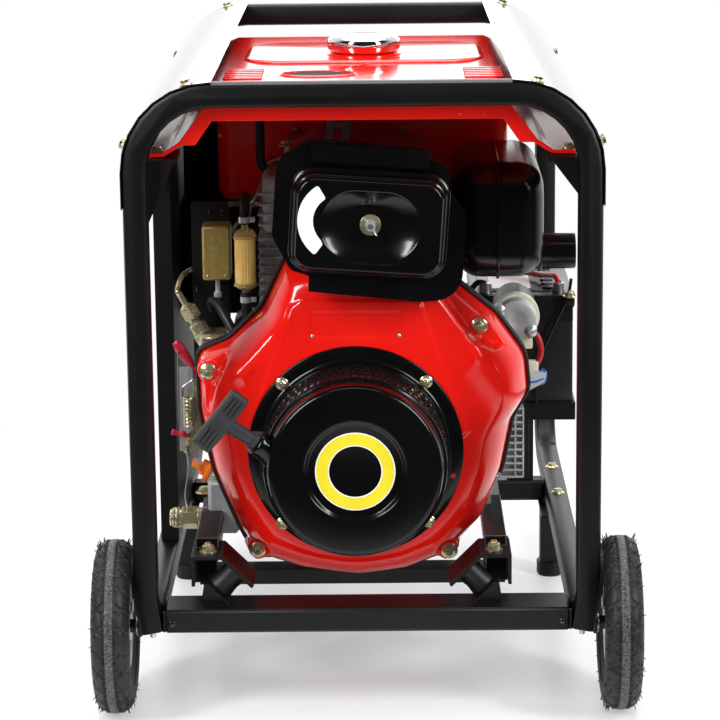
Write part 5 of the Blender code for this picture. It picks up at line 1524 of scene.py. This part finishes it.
    piece("governor_spring", pipe(coil, 0.001, 6, 1), yellow_zinc())
    plate = prism([(-0.22, 0.27), (-0.196, 0.27), (-0.194, 0.368), (-0.202, 0.378), (-0.208, 0.36),
                   (-0.206, 0.3), (-0.22, 0.286)],
                  "y", (0.1965, 0.1985), 0.0004, 1)
    piece("governor_plate", plate, yellow_zinc())
    joint = [((-0.214, 0.1862, 0.284), -Y_AXIS, 0.2, 0.0042), ((-0.2, 0.1842, 0.35), -Y_AXIS, 0.2, 0.0046),
             ((-0.217, 0.1962, 0.272), -Y_AXIS, 0.2, 0.0046)]
    zinc_fixings("governor_nuts", joint, stud_and_nut)
    cap_rivets = [((-0.19, 0.2398, 0.476), -Y_AXIS, 0, 0.0018), ((-0.168, 0.2398, 0.476), -Y_AXIS, 0, 0.0018)]
    set_out("solenoid_rivets", dome_head(), cap_rivets, bright_zinc())
    top = [((-0.188, 0.2785, 0.548), -Y_AXIS, 0.2, 0.0036), ((-0.172, 0.2785, 0.548), -Y_AXIS, 0.2, 0.0036),
           ((-0.205, 0.2785, 0.452), -Y_AXIS, 0.2, 0.003), ((-0.205, 0.2785, 0.35), -Y_AXIS, 0.2, 0.003)]
    set_out("bracket_screws", dome_head(), top, gloss_black())


# ---- starter motor and wiring -------------------------------------------------------------------------
def build_starter():
    """The starter motor and its lead."""
    centre = (middle("starter_motor").x, 0, middle("starter_motor").z)
    cap = turned([(0, 0.2056), (0.009, 0.2056), (0.01, 0.205), (0.0205, 0.205), (0.0232, 0.2062),
                  (0.0244, 0.209), (0.0248, 0.224),
                  (0, 0.224)], centre, Y_AXIS, 64)
    ears = [rod((0.1612, 0.2056, 0.4372), (0.1612, 0.224, 0.4372), 0.007, 24, 0.001),
            rod((0.1985, 0.2056, 0.412), (0.1985, 0.224, 0.412), 0.007, 24, 0.001)]
    piece("starter_end_cap", joined(cap, *ears), bright_casting(), "machine",
          ("starter_motor",))
    collar = turned([(0, 0.224), (0.0272, 0.224), (0.028, 0.225), (0.028, 0.239), (0.027, 0.24), (0, 0.24)],
                    centre, Y_AXIS, 64)
    piece("starter_collar", collar, ivory_nylon())
    case = turned([(0, 0.237), (0.0262, 0.237), (0.0262, 0.299), (0.024, 0.301), (0.0228, 0.302),
                   (0.0225, 0.321), (0.021, 0.322),
                   (0, 0.322)], centre, Y_AXIS, 64)
    piece("starter_case", case, powder_black())
    bolts = [((0.1612, 0.205, 0.4372), -Y_AXIS, 0.2, 0.005), ((0.1985, 0.205, 0.412), -Y_AXIS, 0.4, 0.0056)]
    set_out("starter_bolts", flange_bolt(), bolts, bright_zinc())
    plug_a = block((0.18, 0.201), (0.212, 0.224), (0.388, 0.405), 0.002)
    plug_b = block((0.186, 0.208), (0.208, 0.22), (0.356, 0.374), 0.002)
    piece("wire_plug_housings", joined(plug_a, plug_b), ivory_nylon())
    clear = prism([(0.18, 0.342), (0.189, 0.334), (0.215, 0.348), (0.218, 0.36), (0.204, 0.362),
                   (0.186, 0.356)], "y", (0.205, 0.216), 0.0015)
    piece("wire_plug_cover", clear, clear_plug())
    cable = pipe([(0.196, 0.214, 0.404), (0.204, 0.213, 0.406), (0.209, 0.212, 0.398), (0.2105, 0.212, 0.382),
                  (0.204, 0.213, 0.366)], 0.0036, 16)
    piece("red_starter_lead", cable, red_cable())
    lead = pipe([(0.205, 0.21, 0.356), (0.213, 0.208, 0.364), (0.217, 0.208, 0.356), (0.214, 0.209, 0.346),
                 (0.206, 0.21, 0.345)], 0.0012, 10)
    lead_two = pipe([(0.19, 0.206, 0.35), (0.202, 0.2045, 0.349), (0.214, 0.206, 0.353)], 0.0012, 10)
    piece("blue_leads", joined(lead, lead_two), blue_wire())
    black = pipe([(0.18, 0.236, 0.399), (0.176, 0.24, 0.38), (0.172, 0.25, 0.34), (0.17, 0.28, 0.3),
                  (0.176, 0.32, 0.285),
                  (0.18, 0.338, 0.283)], 0.0028, 12)
    piece("regulator_lead", black, hose_rubber())


# ---- alternator -----------------------------------------------------------------------------------
def build_alternator():
    """The generator behind the engine: housing, fins, stator, and dark blocks painted in as the shade of its
    air slots.
    """
    refined("alternator_housing", cast_aluminium(), 0.0012)
    dressed("stator_core", copper())
    back = span("alternator_housing")[1].y
    r = HOUSING_R
    grooves = []
    for i in range(40):
        a = 2 * math.pi * i / 40
        out = Vector((math.cos(a), 0, math.sin(a)))
        if out.z > -0.8:
            grooves.append(((CRANK_X + r * out.x, 0.515, CRANK_Z + r * out.z), out, 0, 1.0))
    fin = block((-0.0016, 0.0016), (-0.095, 0.095), (-0.001, 0.0035), 0.0008, 1)
    set_out("alternator_fins", fin, grooves, cast_aluminium())
    # Each air slot is a dark block on the housing's back: painted shade standing in for the opening.
    slots = []
    for i in range(20):
        a = 2 * math.pi * (i + 0.5) / 20
        slots.append(((CRANK_X + 0.092 * math.cos(a), back - 0.0085, CRANK_Z + 0.092 * math.sin(a)),
                      (0.18 * math.cos(a), 1, 0.18 * math.sin(a)), -a, 1.0))
    slot_item = block((-0.012, 0.012), (-0.0035, 0.0035), (-0.0008, 0.001), 0.0008, 1)
    set_out("alternator_air_slots", slot_item, slots, trim_rubber())
    bolts = [((CRANK_X + 0.104 * math.cos(a), back - 0.0125, CRANK_Z + 0.104 * math.sin(a)), Y_AXIS, a,
              0.007) for a in
             (math.pi / 4 + math.pi / 2 * i for i in range(4))]
    bolts += [((CRANK_X, back, CRANK_Z), Y_AXIS, 0.2, 0.007)]
    zinc_fixings("alternator_bolts", bolts)
    rings = turned([(0.04, back - 0.0006), (0.048, back - 0.0006), (0.048, back + 0.0028),
                    (0.046, back + 0.0036), (0.042, back + 0.0036), (0.04, back + 0.0028)],
                   (CRANK_X, 0, CRANK_Z), Y_AXIS, 64)
    piece("bearing_boss", rings, cast_aluminium())


# ---- tank -----------------------------------------------------------------------------------------
def build_tank():
    """The fuel tank, its ribs, filler neck, cap and saddle."""
    refined("fuel_tank", red_enamel(), 0.0022)
    top = TANK_TOP
    for side, mid in (("left", -0.144), ("right", 0.1445)):
        bars(f"{side}_tank_ribs", 6, (mid, 0.25, top), (0, 0.016, 0), (0.047, 0.006, 0.0032), red_enamel(),
             bevel=0.0012)
    eye = (-0.054, 0.285)

    def oval(width, height, level):
        return [(eye[0] + width / 2 * math.cos(a), eye[1] + height / 2 * math.sin(a), level)
                for a in whole_turn(64)]
    lip = loft([oval(0.086, 0.046, top - 0.003), oval(0.0866, 0.0466, top + 0.0012),
                oval(0.089, 0.049, top + 0.0022),
                oval(0.093, 0.053, top + 0.0014), oval(0.096, 0.056, top - 0.0006),
                oval(0.096, 0.056, top - 0.003)], True)
    piece("lifting_hole_lip", lip, red_enamel(), sharp=math.radians(60))
    # A matt black oval in the hole stands for the shade inside it: painted shade.
    hole_shade = loft([oval(0.0862, 0.0462, top - 0.003), oval(0.0862, 0.0462, top + 0.0006)])
    piece("lifting_hole_liner", hole_shade, matt_black(), sharp=math.radians(60))
    cap = middle("fuel_cap")
    saddle = [rectangle(0.3, 0.2, 0.05, (cap.x, cap.y + 0.03)), rectangle(0.292, 0.192, 0.048,
                                                                          (cap.x, cap.y + 0.03)),
              rectangle(0.284, 0.184, 0.046, (cap.x, cap.y + 0.03))]
    raised = loft([[(a, b, level) for a, b in outline] for outline, level in
                   ((saddle[0], top - 0.002), (saddle[0], top + 0.0002), (saddle[1], top + 0.003),
                    (saddle[2], top + 0.0036))])
    piece("tank_saddle", raised, red_enamel(), sharp=math.radians(60))
    neck = turned([(0.034, top + 0.003), (0.0475, top + 0.003), (0.047, top + 0.0052), (0.04, top + 0.0075),
                   (0.0355, top + 0.008), (0.034, top + 0.007)],
                  (cap.x, cap.y, 0), Z_AXIS, 96)
    piece("filler_neck_ring", neck, red_enamel())
    low, high = top + 0.0082, span("fuel_cap")[1].z
    r = (span("fuel_cap")[1].x - span("fuel_cap")[0].x) / 2
    lid = [(0.0372, low), (r - 0.0012, low), (r, low + 0.0012), (r, high - 0.0058),
           (r - 0.001, high - 0.0034), (r - 0.0045, high - 0.001),
           (r - 0.009, high), (r - 0.012, high - 0.0006), (r - 0.015, high - 0.002), (0.012, high - 0.0012),
           (0, high - 0.001),
           (0, high - 0.004), (0.0372, high - 0.004)]
    piece("chrome_fuel_cap", turned(lid, (cap.x, cap.y, 0), Z_AXIS, 128), chrome(), "tank_cap",
          ("fuel_cap",), sharp=math.radians(50))
    places = [((cap.x + (r - 0.0002) * math.cos(a), cap.y + (r - 0.0002) * math.sin(a), (low + high) / 2
                - 0.0012),
               (math.cos(a), math.sin(a), 0), 0, 1.0) for a in whole_turn(90)]
    tall = block((-0.006, 0.006), (-0.0006, 0.0006), (-0.0004, 0.0007), 0.0003, 1)
    set_out("cap_knurl", tall, places, chrome(), "tank_cap")
    tabs = [((x, 0.0349, 0.7003), -Y_AXIS, 0, 0.0019) for x in (0.1095, 0.1364)]
    set_out("tank_weld_nibs", dome_head(), tabs, red_enamel())
    lip_plate = []
    for a, b in ((-0.1745, -0.079), (0.084, 0.17)):
        lip_plate.append(prism([(a, 0.695), (b, 0.695), (b + (0.006 if a < 0 else 0), 0.701),
                                (a - (0 if a < 0 else 0.006), 0.701)], "y", (0.0352, 0.0375)))
    piece("tank_front_lip", joined(*lip_plate), red_enamel())
    fitting = rod((-0.15, 0.44, 0.533), (-0.15, 0.44, 0.536), 0.008, 6)
    piece("tank_outlet_fitting", fitting, yellow_zinc())


# ---- battery --------------------------------------------------------------------------------------
def build_battery():
    """The battery on its tray, with clamp, caps, posts and leads."""
    refined("battery_tray", powder_black(), 0.0006)
    low, high = span("battery")
    lid_z = high.z - 0.018
    case = block((low.x + 0.0016, high.x - 0.0016), (low.y + 0.0016, high.y - 0.0016),
                 (low.z, lid_z), 0.004, 3)
    lid = block((low.x, high.x), (low.y, high.y), (lid_z - 0.0002, high.z - 0.004), 0.0025, 2)
    deck = block((low.x + 0.01, high.x - 0.01), (low.y + 0.022, high.y - 0.022),
                 (high.z - 0.005, high.z), 0.002, 2)
    piece("battery_case", joined(case, lid, deck), battery_abs(), "machine", ("battery",))
    mid = (low + high) / 2
    post_y, lead_z = mid.y - 0.078, high.z + 0.0105
    label = block((mid.x - 0.04, mid.x + 0.012), (mid.y - 0.06, mid.y + 0.06),
                  (high.z - 0.0002, high.z + 0.0003))
    piece("plain_battery_label", label, white_vinyl())
    caps = [((mid.x + 0.034, mid.y - 0.06 + 0.024 * i, high.z - 0.0002), Z_AXIS, 0, 0.0085) for i in range(6)]
    vent = turned([(0, 0), (1.0, 0), (1.0, 0.22), (0.88, 0.32), (0.3, 0.32), (0.3, 0.24), (0, 0.24)],
                  (0, 0, 0), Z_AXIS, 24)
    set_out("battery_vent_caps", vent, caps, battery_abs())
    posts = [turned([(0, 0), (0.0085, 0), (0.0078, 0.014), (0.007, 0.0148), (0, 0.0148)],
                    (x, post_y, high.z - 0.004), Z_AXIS, 24)
             for x in (mid.x - 0.046, mid.x + 0.046)]
    piece("battery_posts", joined(*posts), turned_aluminium())
    strap = joined(block((low.x + 0.004, high.x + 0.001), (low.y - 0.001, low.y + 0.026),
                         (high.z - 0.0035, high.z - 0.0015), 0.0005),
                   block((high.x - 0.014, high.x - 0.0005), (low.y - 0.012, low.y + 0.02),
                         (high.z - 0.012, high.z - 0.002), 0.001),
                   prism([(low.y - 0.0008, high.z - 0.034), (low.y + 0.0008, high.z - 0.034),
                          (low.y + 0.0008, high.z - 0.002), (low.y - 0.0008, high.z - 0.002)],
                         "x", (low.x + 0.02, high.x - 0.002), 0.0004, 1))
    piece("battery_clamp", strap, powder_black())
    rods = joined(pipe([(0.256, 0.35, 0.446), (0.254, 0.35, 0.432), (0.25, 0.352, 0.418),
                        (0.233, 0.354, 0.38), (0.217, 0.356, 0.342),
                        (0.213, 0.356, 0.32), (0.213, 0.357, 0.283)], 0.002, 12))
    piece("battery_hook_rod", rods, powder_black())
    nut = [((0.253, 0.35, 0.4225), (0.1, 0, 1), 0.2, 0.006)]
    zinc_fixings("battery_clamp_nut", nut, stud_and_nut)
    lead = pipe([(mid.x + 0.046, post_y, lead_z), (mid.x + 0.04, mid.y - 0.06, high.z + 0.016),
                 (mid.x + 0.02, mid.y - 0.01, high.z + 0.008),
                 (mid.x - 0.03, mid.y + 0.04, high.z + 0.0045), (mid.x - 0.064, mid.y + 0.055, high.z - 0.02),
                 (mid.x - 0.072, mid.y + 0.055, high.z - 0.07),
                 (0.112, mid.y + 0.06, 0.33)], 0.0036, 14)
    piece("battery_lead", lead, red_cable())
    black = pipe([(mid.x - 0.046, post_y, lead_z), (mid.x - 0.058, mid.y - 0.07, high.z + 0.008),
                  (mid.x - 0.0705, mid.y - 0.06, high.z - 0.02),
                  (mid.x - 0.0715, mid.y - 0.05, high.z - 0.08), (0.11, mid.y - 0.03, 0.3)], 0.0036, 14)
    piece("battery_earth_lead", black, hose_rubber())
    low, high = span("regulator")
    base = block((low.x, high.x), (low.y + 0.01, high.y), (low.z, high.z), 0.0012, 1)
    edges = [block((x, x + 0.0022), (low.y, low.y + 0.012), (low.z, high.z), 0.0006, 1)
             for x in (low.x, (low.x + high.x) / 2 + 0.004, high.x - 0.0022)]
    piece("regulator_body", joined(base, *edges), bright_casting(), "machine",
          ("regulator",))
    bars("regulator_fins", 11, ((low.x + high.x) / 2, low.y + 0.0055, low.z + 0.0012),
         (0, 0, (high.z - low.z - 0.0024) / 10), (high.x - low.x, 0.011, 0.0022),
         bright_casting(), bevel=0.0005)


# ---- control panel --------------------------------------------------------------------------------
def build_panel():
    """The control panel that faces away, with its controls, sockets and box."""
    refined("control_panel", panel_black(), 0.0006)
    refined("control_box", matt_black(), 0.0012)
    low, high = span("control_panel")
    face = PANEL_FACE
    out = -X_AXIS
    screws = [((face, depth, z), out, 0, 0.0036) for depth in (low.y + 0.016, middle("control_panel").y,
                                                               high.y - 0.016)
              for z in (low.z + 0.018, high.z - 0.018)]
    set_out("panel_screws", dome_head(), screws, bright_zinc())
    for node, surface, slot in (("current_knob", black_abs(), "black_plastic"), ("key_switch", chrome(),
            "chrome"), ("breaker_lever", black_abs(), "black_plastic"),
                                ("socket_cover", black_abs(), "black_plastic"), ("positive_weld_socket",
                                        black_abs(), "black_plastic"),
                                ("negative_weld_socket", black_abs(), "black_plastic")):
        refined(node, surface, 0.0006)

    def round_plate(r, tall, depth, z, bore=0.0):
        profile = [(bore, -0.0002), (r, -0.0002), (r, tall - 0.0006), (r - 0.0006, tall), (bore, tall)]
        return turned(profile, (face, depth, z), out, 64)
    knob, key = middle("current_knob"), middle("key_switch")
    piece("knob_dial_plate", round_plate(0.03, 0.0012, knob.y, knob.z, 0.018), turned_aluminium())
    ticks = []
    for i in range(11):
        a = math.radians(225 - 27 * i)
        ticks.append(((face - 0.001, knob.y + 0.025 * math.cos(a), knob.z + 0.025 * math.sin(a)), out, 0,
                      1.0))
    set_out("knob_dial_dots", band(0, 0.0012, 0, 0.0005, (0, 0, 0), Z_AXIS, 12), ticks, black_abs())
    piece("key_switch_bezel", round_plate(0.015, 0.003, key.y, key.z, 0.0116), black_abs())
    breaker = middle("breaker_lever")
    bezel = [block((face - 0.0045, face + 0.0001), (breaker.y + a, breaker.y + b),
                   (breaker.z + c, breaker.z + d), 0.001)
             for a, b, c, d in ((-0.018, -0.0092, -0.024, 0.024), (0.0092, 0.018, -0.024, 0.024),
                                (-0.0095, 0.0095, 0.015, 0.024), (-0.0095, 0.0095, -0.024, -0.015))]
    piece("breaker_frame", joined(*bezel), black_abs())
    cover = middle("socket_cover")
    base = block((face - 0.0032, face + 0.0001), (cover.y - 0.033, cover.y + 0.033),
                 (cover.z - 0.034, cover.z + 0.034), 0.0014)
    piece("socket_base", base, black_abs())
    for depth, surface, name in zip(WELD_SOCKETS, (red_dip(), black_abs()),
                                    ("positive_mark", "negative_mark")):
        ring = band(0.0205, 0.025, 0, 0.001, (face + 0.0001, depth, WELD_SOCKET_Z), out, 48)
        piece(name, ring, surface)
    inserts = [turned([(0, 0.002), (0.0056, 0.002), (0.0056, 0.0125), (0.0048, 0.0135), (0, 0.0135)],
                      (face, depth, WELD_SOCKET_Z), out, 24) for depth in WELD_SOCKETS]
    piece("weld_socket_pins", joined(*inserts), copper())
    lamp = turned([(0, 0.0), (0.0062, 0.0), (0.0062, 0.0016), (0.0046, 0.004), (0, 0.0052)],
                  (face, 0.4, 0.54), out, 32)
    piece("oil_lamp", lamp, red_dip())
    gauge = turned([(0.02, 0), (0.0232, 0), (0.0232, 0.004), (0.022, 0.005), (0.02, 0.005)],
                   (face, 0.62, 0.53), out, 64)
    piece("gauge_bezel", gauge, black_abs())
    dial = band(0, 0.0202, 0, 0.0016, (face, 0.62, 0.53), out, 48)
    piece("gauge_face", dial, white_vinyl())
    marks = [((face - 0.0016, 0.62 + 0.016 * math.cos(a), 0.53 + 0.016 * math.sin(a)), out, 0, 1.0) for a in
             (math.radians(210 - 30 * i) for i in range(9))]
    set_out("gauge_marks", band(0, 0.0007, 0, 0.0004, (0, 0, 0), Z_AXIS, 8), marks, black_abs())
    needle = block((face - 0.0024, face - 0.0018), (0.6194, 0.6206), (0.526, 0.543), 0.0002, 1)
    piece("gauge_needle", needle, red_dip())


# ---- stage ----------------------------------------------------------------------------------------
def build_stage():
    """Floor, lamps, sky and camera."""
    scene = bpy.context.scene
    plane = bpy.data.meshes.new("studio_floor")
    spread, count = 1.25, 96
    rim = [(spread * math.cos(2 * math.pi * i / count), spread * math.sin(2 * math.pi * i / count), 0)
           for i in range(count)]
    plane.from_pydata(rim, [], [tuple(range(count))])
    floor = placed("studio_floor", plane)
    made = bpy.data.materials.new("studio_floor")
    made.use_nodes = True
    tree = made.node_tree
    tree.nodes.clear()
    paint = add(tree, "ShaderNodeBsdfPrincipled", {"Roughness": 0.42, "Specular IOR Level": 0.25})
    glow = add(tree, "ShaderNodeEmission", {"Color": (1, 1, 1, 1), "Strength": 1.0})
    seen = add(tree, "ShaderNodeLightPath").outputs
    place = add(tree, "ShaderNodeTexCoord").outputs["Object"]
    out = add(tree, "ShaderNodeVectorMath", {"operation": "LENGTH"}, Vector=place).outputs["Value"]
    fade = add(tree, "ShaderNodeMapRange", {"interpolation_type": "SMOOTHSTEP", "From Min": 0.45,
                                            "From Max": 1.15,
                                            "To Min": 0.35, "To Max": 1.0}, Value=out)
    bright = combined(tree, "MULTIPLY", seen["Is Camera Ray"], fade.outputs["Result"])
    near = add(tree, "ShaderNodeMapRange", {"interpolation_type": "SMOOTHSTEP", "From Min": 0.55,
                                            "From Max": 1.15,
                                            "To Min": 1.0, "To Max": 0.0}, Value=out)
    pale = combined(tree, "MAXIMUM", seen["Is Camera Ray"], near.outputs["Result"])
    shade = add(tree, "ShaderNodeMix", {"data_type": "RGBA", 6: (0.03, 0.03, 0.03, 1),
                                        7: linear(tints().floor)},
                Factor=pale)
    tree.links.new(shade.outputs[2], paint.inputs["Base Color"])
    mix = add(tree, "ShaderNodeMixShader", Fac=bright)
    tree.links.new(paint.outputs[0], mix.inputs[1])
    tree.links.new(glow.outputs[0], mix.inputs[2])
    add(tree, "ShaderNodeOutputMaterial", Surface=mix.outputs[0])
    plane.materials.append(made)

    world = bpy.data.worlds.new("studio")
    scene.world = world
    world.use_nodes = True
    tree = world.node_tree
    tree.nodes.clear()
    seen = add(tree, "ShaderNodeLightPath").outputs
    way = add(tree, "ShaderNodeSeparateXYZ",
              Vector=add(tree, "ShaderNodeTexCoord").outputs["Generated"]).outputs
    behind = add(tree, "ShaderNodeMapRange", {"From Min": -0.15, "From Max": 0.45, "To Min": 0.02,
                                              "To Max": 1.0}, Value=way["Y"])
    mirror = add(tree, "ShaderNodeMix", {"data_type": "FLOAT", "A": 0.62}, Factor=seen["Is Glossy Ray"])
    tree.links.new(behind.outputs[0], mirror.inputs["B"])
    sight = combined(tree, "MAXIMUM", seen["Is Camera Ray"], mirror.outputs[0])
    clear = combined(tree, "MAXIMUM", seen["Is Transmission Ray"], sight)
    sky = add(tree, "ShaderNodeBackground", {"Color": (1, 1, 1, 1)}, Strength=clear)
    add(tree, "ShaderNodeOutputWorld", Surface=sky.outputs[0])

    aim = Vector((0, 0, 0.4))
    for name, spot, size, power in (("left_softbox", (-1.9, -2.0, 1.9), (0.5, 1.6), 62),
                                    ("right_softbox", (2.0, -1.7, 1.7), (0.5, 1.6), 52),
                                    ("top_softbox", (0.0, 0.3, 2.5), (1.8, 1.8), 48),
                                    ("back_softbox", (0.0, 3.0, 1.45), (4.2, 1.1), 27)):
        lamp = bpy.data.lights.new(name, "AREA")
        lamp.shape = "RECTANGLE"
        lamp.size, lamp.size_y = size
        lamp.energy = power
        holder = placed(name, lamp)
        holder.location = spot
        holder.rotation_euler = (aim - Vector(spot)).to_track_quat("-Z", "Y").to_euler()

    lens = bpy.data.cameras.new("camera")
    lens.sensor_width = 36
    lens.lens = sizes().camera_lens
    lens.clip_end = 60
    pitch, yaw, roll = math.radians(13.167), math.radians(-0.49), math.radians(-0.62)
    ahead = Vector((math.sin(yaw) * math.cos(pitch), math.cos(yaw) * math.cos(pitch), -math.sin(pitch)))
    right = ahead.cross(Z_AXIS).normalized()
    up = right.cross(ahead)
    side = right * math.cos(roll) + up * math.sin(roll)
    upright = up * math.cos(roll) - right * math.sin(roll)
    turn = Matrix((side, upright, -ahead)).transposed().to_4x4()
    off_centre = 0.0221
    turn.translation = Vector((off_centre, FRONT_Y - sizes().camera_back, sizes().camera_height))
    scene.camera = placed("camera", lens)
    scene.camera.matrix_world = turn
    scene.view_settings.view_transform = "Standard"


# ---- operators ------------------------------------------------------------------------------------
class WELDER_OT_stage(Operator):
    """Make the floor, the lights and the camera"""

    bl_idname = "welder.stage"
    bl_label = "Stage"

    def execute(self, context):
        build_stage()
        return {"FINISHED"}


class WELDER_OT_frame(Operator):
    """Finish the tube frame, its guards and its bolts"""

    bl_idname = "welder.frame"
    bl_label = "Frame"

    def execute(self, context):
        build_frame()
        return {"FINISHED"}


class WELDER_OT_wheels(Operator):
    """Build the tyres, rims and axle nuts"""

    bl_idname = "welder.wheels"
    bl_label = "Wheels"

    def execute(self, context):
        build_wheels()
        return {"FINISHED"}


class WELDER_OT_cowl(Operator):
    """Press the red fan cowl with its trim and bolts"""

    bl_idname = "welder.cowl"
    bl_label = "Fan cowl"

    def execute(self, context):
        build_cowl()
        return {"FINISHED"}


class WELDER_OT_recoil(Operator):
    """Build the recoil housing and its pull grip"""

    bl_idname = "welder.recoil"
    bl_label = "Recoil starter"

    def execute(self, context):
        build_recoil()
        return {"FINISHED"}


class WELDER_OT_air_filter(Operator):
    """Build the air filter's lid, hood and wing nut"""

    bl_idname = "welder.air_filter"
    bl_label = "Air filter"

    def execute(self, context):
        build_air_filter()
        return {"FINISHED"}


class WELDER_OT_muffler(Operator):
    """Build the two-shell muffler and its tail pipe"""

    bl_idname = "welder.muffler"
    bl_label = "Muffler"

    def execute(self, context):
        build_muffler()
        return {"FINISHED"}


class WELDER_OT_engine(Operator):
    """Finish the castings and add fins and bolts"""

    bl_idname = "welder.engine"
    bl_label = "Engine"

    def execute(self, context):
        build_engine()
        return {"FINISHED"}


class WELDER_OT_fuel_side(Operator):
    """Build the fuel filter, hoses, governor and stop gear"""

    bl_idname = "welder.fuel_side"
    bl_label = "Fuel side"

    def execute(self, context):
        build_fuel_side()
        return {"FINISHED"}


class WELDER_OT_starter(Operator):
    """Build the electric starter and its wiring"""

    bl_idname = "welder.starter"
    bl_label = "Starter motor"

    def execute(self, context):
        build_starter()
        return {"FINISHED"}


class WELDER_OT_alternator(Operator):
    """Finish the alternator and its vents"""

    bl_idname = "welder.alternator"
    bl_label = "Alternator"

    def execute(self, context):
        build_alternator()
        return {"FINISHED"}


class WELDER_OT_tank(Operator):
    """Finish the tank and build its cap"""

    bl_idname = "welder.tank"
    bl_label = "Fuel tank"

    def execute(self, context):
        build_tank()
        return {"FINISHED"}


class WELDER_OT_battery(Operator):
    """Build the battery, its clamp and the regulator"""

    bl_idname = "welder.battery"
    bl_label = "Battery"

    def execute(self, context):
        build_battery()
        return {"FINISHED"}


class WELDER_OT_panel(Operator):
    """Finish the panel and its controls"""

    bl_idname = "welder.panel"
    bl_label = "Control panel"

    def execute(self, context):
        build_panel()
        return {"FINISHED"}


OPERATORS = (
    WELDER_OT_stage,
    WELDER_OT_frame,
    WELDER_OT_wheels,
    WELDER_OT_cowl,
    WELDER_OT_recoil,
    WELDER_OT_air_filter,
    WELDER_OT_muffler,
    WELDER_OT_engine,
    WELDER_OT_fuel_side,
    WELDER_OT_starter,
    WELDER_OT_alternator,
    WELDER_OT_tank,
    WELDER_OT_battery,
    WELDER_OT_panel,
)


class WELDER_PT_build(Panel):
    """Lists the build steps and the sizes."""

    bl_label = "Engine driven welder"
    bl_space_type = "VIEW_3D"
    bl_region_type = "UI"
    bl_category = "Welder"

    def draw(self, context):
        for made in OPERATORS:
            self.layout.operator(made.bl_idname)
        for group in (context.scene.welder_sizes, context.scene.welder_tints):
            for key in group.__annotations__:
                self.layout.prop(group, key)


def register():
    for made in (WelderTints, WelderSizes, *OPERATORS, WELDER_PT_build):
        bpy.utils.register_class(made)
    bpy.types.Scene.welder_tints = PointerProperty(type=WelderTints)
    bpy.types.Scene.welder_sizes = PointerProperty(type=WelderSizes)


def unregister():
    del bpy.types.Scene.welder_sizes
    del bpy.types.Scene.welder_tints
    for made in (WELDER_PT_build, *reversed(OPERATORS), WelderSizes, WelderTints):
        bpy.utils.unregister_class(made)


def main():
    register()
    for made in OPERATORS:
        step = getattr(bpy.ops.welder, made.bl_idname.split(".")[1])
        step()


if __name__ == "__main__":
    main()
